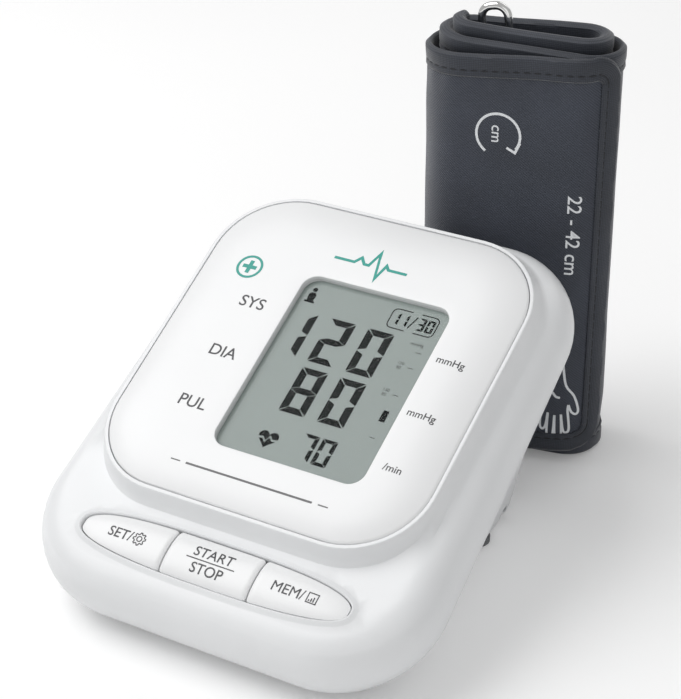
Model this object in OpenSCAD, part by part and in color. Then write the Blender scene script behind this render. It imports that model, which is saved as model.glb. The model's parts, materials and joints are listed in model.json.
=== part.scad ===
// Upper-arm blood pressure monitor with its rolled arm cuff.
// The monitor stands on four feet, its deck leaning back; the rolled cuff stands upright behind it.

/* [Housing] */
// Width of the housing at its widest contour, front end
body_w = 132; // [126:1:166]
// Width of the housing at its widest contour, back end
body_back_w = 125; // [118:1:155]
// Reach of the housing from the middle of the faceplate to the front
body_front = 90; // [88:1:110]
// Reach of the housing from the middle of the faceplate to the back
body_rear = 65; // [63:1:80]
// Tilt of the deck above the table
tilt = 26; // [22:0.5:31]
// Gap between the base and the housing's underside at the front
heel = 0.1; // [0:0.1:4]
// Wall thickness of both shells
wall = 2.2; // [1.6:0.1:2.6]
// How far the feet stand out of the base
foot_proud = 0.8; // [0.5:0.1:1.5]

/* [Faceplate and display] */
// Width of the faceplate
plate_w = 106.4; // [96:0.5:108]
// Length of the faceplate
plate_l = 110; // [100:0.5:112]
// Corner radius of the faceplate
plate_r = 24; // [16:1:28]
// Crown of the faceplate, from its edge to its middle
plate_crown = 3; // [1.5:0.1:4]
// Width of the display window
window_w = 50; // [40:0.5:60]
// Length of the display window
window_l = 64.8; // [54:0.2:78]
// Sideways place of the display window
window_x = 8.4; // [0:0.2:12]
// Lengthways place of the display window
window_y = -5.1; // [-8:0.1:4]

/* [Buttons] */
// Width of the whole row of buttons
row_w = 89.5; // [76:0.5:94]
// Length of the row of buttons, front to back
row_l = 14; // [11:0.5:15]
// Distance from the middle of the faceplate to the row of buttons
row_y = 70.3; // [69:0.1:72]
// Width of the middle button
middle_w = 29.4; // [22:0.2:34]
// Crown of the buttons
button_crown = 1.8; // [0.8:0.1:2.4]
// Travel of the buttons
button_travel = 0.8; // [0.4:0.1:1]

/* [Batteries] */
// Diameter of one cell
cell_d = 14.2; // [10.4:0.1:17]
// Length of one cell
cell_l = 50; // [41:0.5:60]

/* [Air parts] */
// Diameter of the pump's motor
motor_d = 24.4; // [18:0.2:25]
// Bore of the air socket
socket_bore = 4.6; // [4:0.1:5.5]
// Outside diameter of the inner air tubes
tube_d = 4.2; // [3.6:0.1:4.6]

/* [Cuff] */
// Width of the rolled cuff
cuff_w = 67; // [60:0.5:80]
// Depth of the rolled cuff
cuff_d = 33; // [33:0.5:40]
// Height of the cuff's cloth
cuff_h = 146; // [120:1:175]
// Sideways place of the cuff
cuff_x = 24; // [16:0.5:30]
// Gap between the housing's back and the cuff
cuff_gap = 2; // [1:0.5:20]
// Turn of the cuff about its upright axis
cuff_yaw = 10; // [0:1:14]
// Width of the binding tape
tape_w = 7; // [5:0.5:9]
// Wire diameter of the cuff's ring
ring_wire = 2.6; // [2:0.1:3]
// Width of the cuff's ring
ring_w = 11; // [10:0.5:14]
// How far the cuff's ring stands out of the cloth at the top
ring_out = 6.5; // [2:0.5:12]

/* [Hidden] */
$fn = 48;

// The whole part is centred over its footprint.
monitor_y = -19.63;
cut = 0.5;
thin = 0.05;
gap = 0.3;

base_z = foot_proud;

// Contours of the housing, parallel to the deck: height, and how far it lies inside the widest one.
CONTOURS = [[-9, 8.8], [-11, 4.5], [-15, 1.5], [-21, 0], [-27, 1], [-34, 6]];
front_r = 32;
back_r = 29;
split_h = -30;
LAST = CONTOURS[len(CONTOURS) - 1];
deck_z = base_z + heel + (body_front - LAST[1]) * sin(tilt) - LAST[0] * cos(tilt);
base_tuck_front = 2.6;
base_tuck_rear = 8;
base_front = base_tuck_front - (body_front - LAST[1]) * cos(tilt) - LAST[0] * sin(tilt);
base_rear = (body_rear - LAST[1]) * cos(tilt) - LAST[0] * sin(tilt) - base_tuck_rear;
base_inset = 16;
base_taper = 3;

// Raised part of the deck that carries the faceplate.
lip_h = -plate_crown;
lip = 1.2;
lip_flare = 1.4;
pocket_h = lip_h - 1.8;
deck_under = pocket_h - wall;
shelf_h = CONTOURS[0][0];
shelf_under = shelf_h - wall;

// Display stack, from the faceplate down to the board.
lens_top = -1.2;
lens_t = 1;
glass_t = 2;
glass_margin = 1.2;
glass_under = lens_top - lens_t - 0.1 - glass_t;
strip_w = 44;
strip_t = 2;
holder_margin = 3;
board_h = -16;
board_t = 1.6;
board_w = 2 * (window_x + window_w / 2 + holder_margin) + 3.2;
board_front = -79;
board_rear = 46;
board_under = board_h - board_t;
window_r = 5;

// Buttons.
lip_w = 1.6;
button_edge_h = shelf_h - 0.3;
flange = 1;
flange_t = 1.2;
flange_h = shelf_under - 0.2 - flange_t;
mat_t = 1;
pad_r = 4;
stem_r = 2.2;
oval_power = 2.6;

// Base and battery bay.
floor_z = base_z + wall;
cells = 4;
cell_gap = 0.4;
bay_wall = 1.6;
bay_w = cells * (cell_d + cell_gap) + cell_gap;
spring_l = 5;
contact_t = 0.5;
bay_l = cell_l + spring_l + 4 * contact_t;
bay_rear = base_rear - wall - bay_wall;
bay_front = bay_rear - bay_l;
bay_z = base_z + 2.5;
bay_top = bay_z + cell_d + 1;
cell_z = bay_z + 0.2 + cell_d / 2;
cover_t = 2.3;
cover_step = 1.1;
cover_lap = 2;
cover_w = bay_w + 4;
cover_front = bay_front - 3;
cover_slide = 8;
tab_l = 7;
TABS = [cover_front + 8, cover_front + 44];
rail_w = 3;

// Screws and their posts, upright.
post_r = 3.8;
screw_r = 1.25;
screw_l = 12;
head_r = 2.5;
head_t = 1.8;
rail_x = cover_w / 2 + cover_lap + rail_w;
post_x = max(board_w / 2 + 1.4, rail_x + 0.6) + post_r;
POSTS = [for (y = [base_front + 15, base_rear - 20], s = [-1, 1]) [s * post_x, y]];
foot_r = 4.5;
foot_sink = 1;
FEET = [for (p = [[post_x - post_r - foot_r - 0.9, base_front + 14], [rail_x + foot_r + 1,
    base_rear - 34]],
    s = [-1, 1]) [s * p[0], p[1]]];
board_post_x = board_w / 2 - 4.5;
BOARD_POSTS = [for (y = [40, -57.5], s = [-1, 1]) [s * board_post_x, y]];
board_post_r = 2.6;

// Air parts.
head_w = motor_d + 1.6;
air_y = cover_front - rail_w - 2 - head_w / 2;
air_z = floor_z + 0.6 + motor_d / 2;
motor_l = 30;
head_l = 20;
pump_x = -42;
head_x = pump_x + motor_l;
nozzle_r = 1.6;
nozzle_l = 4;
shaft_r = 1;
shaft_gap = 0.05;
cam_r = 4;
cam_off = 1.2;
manifold_x = head_x + head_l + nozzle_l;
manifold_l = 7;
manifold_r = 4;
branch_r = 1.6;
branch_l = 5;
valve_x = manifold_x + manifold_l + nozzle_l;
valve_l = 19;
valve_w = 15;
valve_h = 15;
plunger_r = 2.5;
plunger_l = 11;
plunger_travel = 1;
sensor_x = 24;
sensor_y = -54;
socket_y = 5;
socket_h = -22.5;
socket_proud = 0.3;
flange_gap = 1.9;
jack_gap = 3.2;
socket_r = 5.5;
socket_l = 14;
jack_y = 22;
jack_bore = 5.6;
jack_w = 11;
jack_l = 14;
tube_sides = 8;

// Cuff: flat roll of two and a half turns around a wire ring.
turn_pitch = 4.1;
turns = 2.5;
cloth_t = 0.9;
layer_gap = 0.1;
patch_t = 0.9;
bladder_t = 1.8;
roll_start = 30;
roll_end = roll_start + 360 * turns;
arc_step = 15;
cuff_flat = (cuff_w - cuff_d) / 2;
merge_from = 400;
merge_to = 460;
ring_tilt = -9;
ring_corner = ring_w / 2 - ring_wire / 2 - 0.6;
ring_lift = 0.9;
port_x = -6;
port_z = 24;
port_r = 2.6;
port_l = 7;
port_flange_r = 7;
port_flange_t = 1.6;
ring_depth = 0.4;

// ---- shared shapes -------------------------------------------------------------------------

function arc_points(x, y, r, from, n = 8) =
    [for (i = [0:n]) [x + r * cos(from + 90 * i / n), y + r * sin(from + 90 * i / n)]];

// Outline with round corners whose front and back halves differ in width.
function outline(wf, wb, yf, yb, rf, rb) = concat(
    arc_points(wb - rb, yb - rb, rb, 0),
    arc_points(rb - wb, yb - rb, rb, 90),
    arc_points(rf - wf, yf + rf, rf, 180),
    arc_points(wf - rf, yf + rf, rf, 270)
);

function rounded(w, l, r) = outline(w / 2, w / 2, -l / 2, l / 2, r, r);

function contour(inset) = outline(
    body_w / 2 - inset, body_back_w / 2 - inset, inset - body_front, body_rear - inset,
    front_r - 0.6 * inset, back_r - 0.6 * inset
);

function base_outline(inset) = outline(
    body_w / 2 - base_inset - inset, body_back_w / 2 - base_inset - base_taper - inset + 1,
    base_front + inset, base_rear - inset, 24 - inset, 18 - inset
);

// Long oval of the button row, grown or shrunk by a margin.
function oval(margin, n = 48) = [
    for (i = [0:n - 1]) let (a = 360 * i / n, p = 2 / oval_power)
        [(row_w / 2 + margin) * sign(cos(a)) * pow(abs(cos(a)), p),
         (row_l / 2 + margin) * sign(sin(a)) * pow(abs(sin(a)), p) - row_y]
];

module monitor() {
    translate([0, monitor_y, 0]) children();
}

// Deck frame: its XY plane is the deck, through the middle of the faceplate.
module deck() {
    monitor() translate([0, 0, deck_z]) rotate([tilt, 0, 0]) children();
}

module sheet(points, h, t) {
    translate([0, 0, h]) linear_extrude(t) polygon(points);
}

module block(x0, x1, y0, y1, z0, z1) {
    translate([x0, y0, z0]) cube([x1 - x0, y1 - y0, z1 - z0]);
}

module x_rod(x, y, z, r, l) {
    translate([x, y, z]) rotate([0, 90, 0]) cylinder(r = r, h = l);
}

module screw(r, l) {
    cylinder(r = r, h = l);
    translate([0, 0, -head_t]) cylinder(r = head_r, h = head_t);
}

// ---- tubes and coils swept along points ------------------------------------------------------

function unit(v) = v / norm(v);
function heading(path, i) = unit(path[min(i + 1, len(path) - 1)] - path[max(i - 1, 0)]);
function side_of(d) = unit(cross(d, abs(d[2]) < 0.9 ? [0, 0, 1] : [0, 1, 0]));
function carried(side, d) = unit(side - (side * d) * d);
// Sideways direction at each point, carried along so that the tube doesn't twist.
function sides_along(path, i, side) = i >= len(path) ? [] :
    let (s = carried(side, heading(path, i))) concat([s], sides_along(path, i + 1, s));
function ring_points(p, d, s, r, n) =
    let (u = cross(d, s)) [for (k = [0:n - 1]) p + r * (cos(360 * k / n) * s + sin(360 * k / n) * u)];

module sweep(path, r, n) {
    sides = sides_along(path, 0, side_of(heading(path, 0)));
    points = [for (i = [0:len(path) - 1]) each ring_points(path[i], heading(path, i), sides[i], r, n)];
    last = (len(path) - 1) * n;
    walls = [
        for (i = [0:len(path) - 2], k = [0:n - 1])
            [i * n + k, (i + 1) * n + k, (i + 1) * n + (k + 1) % n, i * n + (k + 1) % n]
    ];
    polyhedron(points, concat(
        walls,
        [[for (k = [0:n - 1]) k]],
        [[for (k = [n - 1:-1:0]) last + k]]
    ));
}

// Smooth points through hand-chosen ones.
function spline(a, b, c, d, t) = 0.5 * (
    2 * b + (c - a) * t + (2 * a - 5 * b + 4 * c - d) * t * t + (3 * b - 3 * c + d - a) * t * t * t
);
function smooth_path(p, steps) = concat(
    [for (i = [0:len(p) - 2], s = [0:steps - 1])
        spline(p[max(i - 1, 0)], p[i], p[i + 1], p[min(i + 2, len(p) - 1)], s / steps)],
    [p[len(p) - 1]]
);
function coil_path(r0, r1, l, coils, n) =
    [for (i = [0:coils * n]) let (t = i / (coils * n), a = 360 * i / n, r = r0 + (r1 - r0) * t)
        [r * cos(a), r * sin(a), l * t]];

// ---- housing -------------------------------------------------------------------------------

module lower_mass(inset, h_drop, z_rise) {
    hull() {
        deck() for (c = CONTOURS)
            sheet(contour(c[1] + inset), c[0] - (c[0] > split_h / 2 ? h_drop : 0), thin);
        monitor() sheet(base_outline(inset), base_z + z_rise, thin);
    }
}

module plateau(margin, top_h) {
    w = plate_w + 2 * (lip + margin);
    l = plate_l + 2 * (lip + margin) + 1.2;
    r = plate_r + lip + margin;
    deck() hull() {
        sheet(rounded(w, l, r), top_h, thin);
        sheet(rounded(w + lip_flare, l + lip_flare, r), top_h - 1.5, thin);
        sheet(rounded(w + 2 * lip_flare, l + 2 * lip_flare, r), CONTOURS[1][0] - 1.5, thin);
    }
}

module cavity() {
    lower_mass(wall, wall, wall);
    plateau(-wall, deck_under);
}

module above_split() {
    deck() block(-200, 200, -200, 200, split_h, 100);
}

module below_split() {
    deck() block(-200, 200, -200, 200, -200, split_h);
}

// Half width of the housing's widest contour at a place along the deck, between its corners.
function side_x(y) = let (y0 = front_r - body_front, y1 = body_rear - back_r)
    body_w / 2 + (body_back_w - body_w) / 2 * (y - y0) / (y1 - y0);

// Left wall holes of the air socket and the power jack.
module side_holes() {
    deck() {
        x_rod(-body_w, socket_y, socket_h, socket_r + 0.1, body_w - 40);
        x_rod(-body_w, jack_y, socket_h, jack_bore / 2 + 0.4, body_w - 40);
    }
}

module top_shell() color("white") difference() {
    intersection() {
        union() {
            lower_mass(0, 0, 0);
            plateau(0, lip_h);
            deck() sheet(oval(lip_w), shelf_h - cut, cut + 0.7);
        }
        above_split();
    }
    difference() {
        cavity();
        monitor() for (p = POSTS) translate([p[0], p[1], 0]) cylinder(r = post_r, h = 2 * deck_z);
        deck() for (p = BOARD_POSTS) translate([p[0], p[1], board_h]) cylinder(r = board_post_r, h
            = -board_h);
    }
    deck() {
        sheet(rounded(plate_w + 0.4, plate_l + 0.4, plate_r + 0.2), pocket_h, 20);
        translate([window_x, window_y, 0])
            sheet(rounded(window_w + 2 * holder_margin + 0.8, window_l + 2 * holder_margin + 0.8,
                4), board_h, 20);
        sheet(oval(0.3), -20, 20);
        for (p = BOARD_POSTS) translate([p[0], p[1], board_h - cut]) cylinder(r = 0.9, h = 7);
    }
    monitor() for (p = POSTS) translate([p[0], p[1], 0]) cylinder(r = screw_r, h = post_top(p) - 4);
    side_holes();
}

// Heights on an upright line at [x, y]: where it meets the parting plane, and the shelf above it.
function plane_z(p, h) = deck_z + p[1] * tan(tilt) + h / cos(tilt);
function post_top(p) = plane_z(p, p[1] < 0 ? shelf_h : deck_under);
function seat_z(p) = plane_z(p, split_h) - 6;

module rail_cut() {
    block(-cover_w / 2 - gap, cover_w / 2 + gap, cover_front - gap, 100, -1, base_z + cover_step + 0.1);
    block(
        -cover_w / 2 - cover_lap - gap, cover_w / 2 + cover_lap + gap,
        cover_front - gap, 100, base_z + cover_step, base_z + cover_t + 0.2
    );
    // Notches that let the tabs drop out once the cover has slid back.
    for (y = TABS) block(
        -cover_w / 2 - cover_lap - gap, cover_w / 2 + cover_lap + gap,
        y + cover_slide - gap, y + cover_slide + tab_l + gap, -1, base_z + cover_t
    );
}

module bottom_shell() color("gainsboro") difference() {
    intersection() {
        lower_mass(0, 0, 0);
        below_split();
    }
    difference() {
        cavity();
        monitor() {
            for (p = POSTS) translate([p[0], p[1], 0]) cylinder(r = post_r, h = 2 * deck_z);
            block(-bay_w / 2 - bay_wall, bay_w / 2 + bay_wall, bay_front - bay_wall, bay_rear + bay_wall,
                0, bay_top + bay_wall);
            block(-rail_x, rail_x, cover_front - rail_w, 100, 0, base_z + cover_t + wall);
        }
    }
    monitor() {
        block(-bay_w / 2, bay_w / 2, bay_front, bay_rear, 0, bay_top);
        rail_cut();
        for (p = POSTS) translate([p[0], p[1], -1]) {
            cylinder(r = screw_r + 0.15, h = 2 * deck_z);
            cylinder(r = head_r + 0.3, h = seat_z(p) + 1);
        }
        for (p = FEET) translate([p[0], p[1], -1]) cylinder(r = foot_r + 0.1, h = 1 + base_z + foot_sink);
    }
}

module housing_screws() color("silver") monitor() {
    for (p = POSTS) translate([p[0], p[1], seat_z(p)]) difference() {
        screw(screw_r - 0.05, screw_l);
        translate([0, 0, -head_t - cut]) cylinder(r = 1, h = cut + 1);
    }
}

module feet() color("dimgray") monitor() {
    for (p = FEET) translate([p[0], p[1], 0]) cylinder(r = foot_r, h = base_z + foot_sink);
}

// ---- faceplate and display -----------------------------------------------------------------

module faceplate() color("whitesmoke") deck() difference() {
    hull() {
        sheet(rounded(plate_w, plate_l, plate_r), pocket_h, lip_h - pocket_h);
        sheet(rounded(plate_w - 5, plate_l - 5, plate_r - 1.5), -0.55 * plate_crown, thin);
        sheet(rounded(plate_w - 17, plate_l - 17, plate_r - 6), -0.18 * plate_crown, thin);
        sheet(rounded(plate_w - 36, plate_l - 36, plate_r - 12), -thin, thin);
    }
    translate([window_x, window_y, 0]) {
        sheet(rounded(window_w, window_l, window_r), -20, 40);
        sheet(
            rounded(window_w + 2 * glass_margin + 0.6, window_l + 2 * glass_margin + 0.6, 1.5),
            -20, 20 + lens_top - lens_t
        );
    }
}

module window_lens() color("lightgray") deck() translate([window_x, window_y, 0])
    sheet(rounded(window_w - 0.2, window_l - 0.2, window_r - 0.1), lens_top - lens_t, lens_t);

module lcd_glass() color("darkseagreen") deck() translate([window_x, window_y, 0])
    sheet(rounded(window_w + 2 * glass_margin, window_l + 2 * glass_margin, 1), glass_under, glass_t);

function strip_y(s) = s * (window_l / 2 - 1.5);

module lcd_holder() color("white") deck() translate([window_x, window_y, 0]) difference() {
    union() {
        sheet(rounded(window_w + 2 * holder_margin, window_l + 2 * holder_margin, 3.6), board_h,
            pocket_h - 0.1 - board_h);
        sheet(rounded(window_w + 2 * glass_margin, window_l + 2 * glass_margin, 1), board_h,
            glass_under - board_h);
    }
    sheet(rounded(window_w - 6, window_l - 6, 2), board_h - cut, 20);
    for (s = [-1, 1])
        block(-strip_w / 2 - 0.1, strip_w / 2 + 0.1, strip_y(s) - strip_t / 2 - 0.1, strip_y(s) +
            strip_t / 2 + 0.1,
            board_h - cut, 0);
}

module contact_strips() color("hotpink") deck() translate([window_x, window_y, 0]) for (s = [-1, 1])
    block(-strip_w / 2, strip_w / 2, strip_y(s) - strip_t / 2, strip_y(s) + strip_t / 2, board_h,
        glass_under);

// ---- buttons -------------------------------------------------------------------------------

// One piece of the row, between two dividing lines, with its crown, flange and stem.
module button_piece(x0, x1) {
    crown_r = (pow(row_l / 2, 2) + pow(button_crown, 2)) / (2 * button_crown);
    stem_x = x0 < -row_w / 2 ? (x1 - row_w / 2) / 2 + 2 : x1 > row_w / 2 ? (x0 + row_w / 2) / 2 - 2 : 0;
    deck() {
        intersection() {
            union() {
                intersection() {
                    sheet(oval(0), flange_h + flange_t - thin, 20);
                    x_rod(-row_w, -row_y, button_edge_h + button_crown - crown_r, crown_r, 2 * row_w);
                }
                sheet(oval(flange), flange_h, flange_t);
            }
            block(x0, x1, -2 * row_y, 0, flange_h, 0);
        }
        translate([stem_x, -row_y, mat_top + button_travel + 0.1])
            cylinder(r = stem_r, h = flange_h - mat_top - button_travel - 0.1 + thin);
    }
}

mat_top = board_h + mat_t + 0.4;
slit = 0.35;

module set_button() color("white") button_piece(-row_w, -middle_w / 2 - slit / 2);
module start_button() color("white") button_piece(-middle_w / 2 + slit / 2, middle_w / 2 - slit / 2);
module memory_button() color("white") button_piece(middle_w / 2 + slit / 2, row_w);

module button_mat() color("lightgray") deck() {
    stem_x = (row_w / 2 + middle_w / 2) / 2 - 2;
    difference() {
        block(-board_w / 2 + 1, board_w / 2 - 1, -row_y - 6, -row_y + 6, board_h, board_h + mat_t);
        for (x = [-15, 15]) translate([x, -row_y, board_h - cut]) cylinder(r = 1.5, h = mat_t + 2 * cut);
    }
    for (x = [-stem_x, 0, stem_x]) translate([x, -row_y, board_h + mat_t - thin])
        cylinder(r1 = pad_r, r2 = pad_r - 0.6, h = mat_top - board_h - mat_t + thin);
}

// ---- board ---------------------------------------------------------------------------------

module main_board() color("darkgreen") deck() difference() {
    block(-board_w / 2, board_w / 2, board_front, board_rear, board_under, board_h);
    for (p = BOARD_POSTS) translate([p[0], p[1], board_under - cut]) cylinder(r = 1.1, h = board_t
        + 2 * cut);
}

module board_screws() color("silver") deck() for (p = BOARD_POSTS)
    translate([p[0], p[1], board_under]) {
        translate([0, 0, -1.2]) cylinder(r = 2, h = 1.2);
        cylinder(r = 0.85, h = board_t + 5);
    }

module board_chips() color("black") deck() {
    block(-8, 4, -16, -4, board_under - 1.6, board_under);
    block(14, 22, 4, 12, board_under - 1.2, board_under);
    block(-26, -20, 10, 16, board_under - 1.4, board_under);
    block(4, 12, 26, 30, board_under - 2.4, board_under);
    for (x = [-24, -18, 20, 26]) translate([x, -20, board_under - 6]) cylinder(r = 2.5, h = 6);
}

module pressure_sensor() color("dimgray") deck() translate([sensor_x, sensor_y, 0]) difference() {
    union() {
        block(-5, 5, -5, 5, board_under - 5, board_under);
        translate([0, 0, board_under - 10]) cylinder(r = nozzle_r, h = 5 + thin);
    }
    translate([0, 0, board_under - 10 - cut]) cylinder(r = 0.6, h = 8);
}

module buzzer() color("black") deck() translate([-27, -66, board_under - 5]) difference() {
    cylinder(r = 6, h = 5);
    translate([0, 0, -cut]) cylinder(r = 1, h = 2);
}

// ---- pump, valve and air line --------------------------------------------------------------

module pump_motor() color("silver") monitor() translate([pump_x, air_y, air_z]) difference() {
    union() {
        x_rod(0, 0, 0, motor_d / 2, motor_l);
        x_rod(-1.5, 0, 0, 4, 2);
    }
    x_rod(3, 0, 0, shaft_r + shaft_gap, motor_l);
    x_rod(motor_l - 1, 0, 0, 3.5, 2);
}

module pump_shaft() color("gold") monitor() translate([pump_x, air_y, air_z]) {
    x_rod(4, 0, 0, shaft_r, motor_l + 3);
    x_rod(motor_l + 3, 0, cam_off, cam_r, 4);
}

module pump_head() color("lightslategray") monitor() translate([head_x, air_y, air_z]) difference() {
    union() {
        block(0, head_l, -head_w / 2, head_w / 2, -head_w / 2 + 1, head_w / 2 - 1);
        x_rod(head_l - thin, 0, 0, nozzle_r, nozzle_l + thin);
    }
    x_rod(-cut, 0, 0, cam_r + cam_off + 0.8, 8 + cut);
    x_rod(head_l - 6, 0, 0, 0.8, nozzle_l + 7);
    for (a = [0:120:240]) x_rod(10, 8 * cos(a), 8 * sin(a), 3, 4);
}

module pump_cradle() color("darkgray") monitor() difference() {
    block(pump_x + 5, pump_x + motor_l - 5, air_y - 9, air_y + 9, floor_z, air_z - 4);
    x_rod(pump_x - 5, air_y, air_z, motor_d / 2 + 0.05, motor_l + 10);
}

module valve_body() color("silver") monitor() translate([valve_x, air_y, air_z]) difference() {
    union() {
        block(0, valve_l, -valve_w / 2, valve_w / 2, -valve_h / 2, valve_h / 2);
        x_rod(-nozzle_l, 0, 0, nozzle_r, nozzle_l + thin);
    }
    x_rod(2, 0, 0, plunger_r + 0.2, valve_l - 3.5);
    x_rod(-nozzle_l - cut, 0, 0, 0.8, nozzle_l + 3);
}

module valve_plunger() color("dimgray") monitor() translate([valve_x + 3, air_y, air_z])
    x_rod(0, 0, 0, plunger_r, plunger_l);

module valve_spring() color("silver") monitor() translate([valve_x + 3 + plunger_l + plunger_travel
    + 0.2, air_y, air_z])
    rotate([0, 90, 0]) translate([0, 0, 0.25]) sweep(coil_path(1.7, 1.7, 1.6, 2, 12), 0.22, 6);

module air_manifold() color("lightsteelblue") monitor() translate([manifold_x, air_y, air_z])
    difference() {
    union() {
        x_rod(0, 0, 0, manifold_r, manifold_l);
        translate([manifold_l / 2, 0, 0]) cylinder(r = branch_r, h = manifold_r + branch_l);
        translate([manifold_l / 2, 0, 0]) rotate([90, 0, 0]) cylinder(r = branch_r, h = manifold_r
            + branch_l);
    }
    x_rod(-cut, 0, 0, 0.8, manifold_l + 2 * cut);
    translate([manifold_l / 2, 0, 0]) cylinder(r = 0.8, h = 12);
    translate([manifold_l / 2, 0, 0]) rotate([90, 0, 0]) cylinder(r = 0.8, h = 12);
}

// Outer end of the air socket.
socket_x = -side_x(socket_y) - socket_proud;

// Ends of the two inner tubes, in the monitor's frame.
branch_x = manifold_x + manifold_l / 2;
branch_top = [branch_x, air_y, air_z + manifold_r + branch_l];
branch_side = [branch_x, air_y - manifold_r - branch_l, air_z];
socket_in = [
    socket_x + socket_l + nozzle_l + 0.4,
    socket_y * cos(tilt) - socket_h * sin(tilt),
    deck_z + socket_y * sin(tilt) + socket_h * cos(tilt)
];
sensor_tip_h = board_under - 10;
sensor_in = [
    sensor_x,
    sensor_y * cos(tilt) - sensor_tip_h * sin(tilt),
    deck_z + sensor_y * sin(tilt) + sensor_tip_h * cos(tilt)
];

// Direction in which the sensor's nozzle points.
sensor_down = [0, sin(tilt), -cos(tilt)];

module socket_tube() color("lightgray") monitor() sweep(smooth_path([
    branch_top, branch_top + [0, 0, 1.5], branch_top + [0, 0, 3.4], branch_top + [-2, 4, 7.5],
    branch_top + [-12, 16, 12], socket_in + [22, -5, -4], socket_in + [10, 0, -0.5],
    socket_in + [3.4, 0, 0], socket_in + [1.5, 0, 0], socket_in
], 3), tube_d / 2, tube_sides);

module sensor_tube() color("lightgray") monitor() sweep(smooth_path([
    branch_side, branch_side + [0, -1.5, 0], branch_side + [0, -3.5, 0], branch_side + [1.3, -7.5, -3.3],
    sensor_in + [-4, -3.6, -8.2], sensor_in + [-1, -1.8, -8.4], sensor_in + [0, 0.6, -5.8],
    sensor_in + 3 * sensor_down, sensor_in + 1.5 * sensor_down, sensor_in
], 3), tube_d / 2, tube_sides);

module air_socket() color("gray") deck() translate([socket_x, socket_y, socket_h]) difference() {
    union() {
        x_rod(0, 0, 0, socket_r, socket_proud + wall + flange_gap + 0.5);
        x_rod(socket_proud + wall + flange_gap, 0, 0, socket_r + 1.5, 2);
        x_rod(socket_proud + wall + flange_gap, 0, 0, socket_r - 1.5, socket_l - socket_proud -
            wall - flange_gap);
        x_rod(socket_l - thin, 0, 0, nozzle_r, nozzle_l + 0.4 + thin);
    }
    x_rod(-cut, 0, 0, socket_bore / 2, socket_l - 1 + cut);
    x_rod(0, 0, 0, 0.8, 2 * socket_l);
}

module power_jack() color("black") deck() translate([-side_x(jack_y) + wall + jack_gap, jack_y,
    socket_h]) {
    difference() {
        block(0, jack_l, -jack_w / 2, jack_w / 2, -jack_w / 2, jack_w / 2);
        x_rod(-cut, 0, 0, jack_bore / 2, 10 + cut);
    }
    x_rod(1.5, 0, 0, 1, 10);
}

// ---- batteries -----------------------------------------------------------------------------

function cell_x(i) = (i - (cells - 1) / 2) * (cell_d + cell_gap);
function spring_end(i) = i % 2 == 0;

module battery_cells() color("darkorange") monitor() for (i = [0:cells - 1]) {
    y0 = bay_front + 2 * contact_t + (spring_end(i) ? spring_l : 0.5);
    translate([cell_x(i), y0, cell_z]) rotate([-90, 0, 0]) {
        cylinder(r = cell_d / 2, h = cell_l - 1.2);
        cylinder(r = cell_d / 5, h = cell_l);
    }
}

module battery_springs() color("silver") monitor() for (i = [0:cells - 1]) {
    front = spring_end(i);
    y = front ? bay_front + 2 * contact_t : bay_rear - 2 * contact_t;
    translate([cell_x(i), y, cell_z]) rotate([front ? -90 : 90, 0, 0])
        translate([0, 0, 0.4]) sweep(coil_path(4.2, 2.6, spring_l - 1.6, 3, 12), 0.35, 6);
}

module battery_plates() color("gold") monitor() for (i = [0:cells - 1], s = [0, 1]) {
    y = s == 0 ? bay_front + 0.05 : bay_rear - contact_t - 0.05;
    block(cell_x(i) - 5, cell_x(i) + 5, y, y + contact_t, bay_z + 1, bay_top - 1);
}

module battery_cover() color("gainsboro") monitor() difference() {
    union() {
        block(-cover_w / 2, cover_w / 2, cover_front, base_rear - 0.5, base_z, base_z + cover_t);
        for (y = TABS)
            block(-cover_w / 2 - cover_lap, cover_w / 2 + cover_lap, y, y + tab_l,
                base_z + cover_step + 0.15, base_z + cover_t);
    }
    for (i = [0:4]) block(-12, 12, base_rear - 22 + 3 * i, base_rear - 20.8 + 3 * i, -1, base_z + 0.6);
}

// ---- cuff ----------------------------------------------------------------------------------

// Hindmost point of the housing, and the cuff's middle behind it.
housing_rear = monitor_y + max([for (c = CONTOURS) (body_rear - c[1]) * cos(tilt) - c[0] * sin(tilt)]);
cuff_y = housing_rear + cuff_gap + cuff_d / 2 + cuff_flat * sin(cuff_yaw);

module cuff() {
    translate([cuff_x, cuff_y, 0]) rotate([0, 0, cuff_yaw]) children();
}

// Radius of the roll's outer face at a winding angle.
function roll_r(a) = cuff_d / 2 - turn_pitch * (a - roll_start) / 360;
function flat_side(a) = cos(a) > 0.0001 ? 1 : cos(a) < -0.0001 ? -1 : 0;
// Point of the roll at a winding angle, a given depth inside the outermost turn's outer face.
function roll_point(a, depth, side) =
    let (r = roll_r(a) - depth) [side * cuff_flat + r * cos(a), -r * sin(a)];
// Winding angles of a band: its ends, and whole steps between them.
function winding(from, to) = concat(
    [from], [for (a = [arc_step * (floor(from / arc_step) + 1):arc_step:to - 0.01]) a], [to]
);
function roll_points(from, to, depth_at) = [
    for (a = winding(from, to))
        let (s = flat_side(a), d = depth_at(a))
            each s != 0 ? [roll_point(a, d, s)]
                : sin(a) > 0 ? [roll_point(a, d, 1), roll_point(a, d, -1)]
                : [roll_point(a, d, -1), roll_point(a, d, 1)]
];
function backwards(p) = [for (i = [len(p) - 1:-1:0]) p[i]];

// One layer of the roll, upright: a band between two depths, which may change along it.
module roll_band(from, to, outer, inner, z0, z1) {
    translate([0, 0, z0]) linear_extrude(z1 - z0)
        polygon(concat(roll_points(from, to, outer), backwards(roll_points(from, to, inner))));
}

function merged(a) = min(max((a - merge_from) / (merge_to - merge_from), 0), 1);
lining_thin = cloth_t + layer_gap;
lining_thick = cloth_t + bladder_t + 2 * layer_gap;
function lining_depth(a) = lining_thin + (lining_thick - lining_thin) * merged(a);
cloth_end = roll_start + 18;

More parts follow.
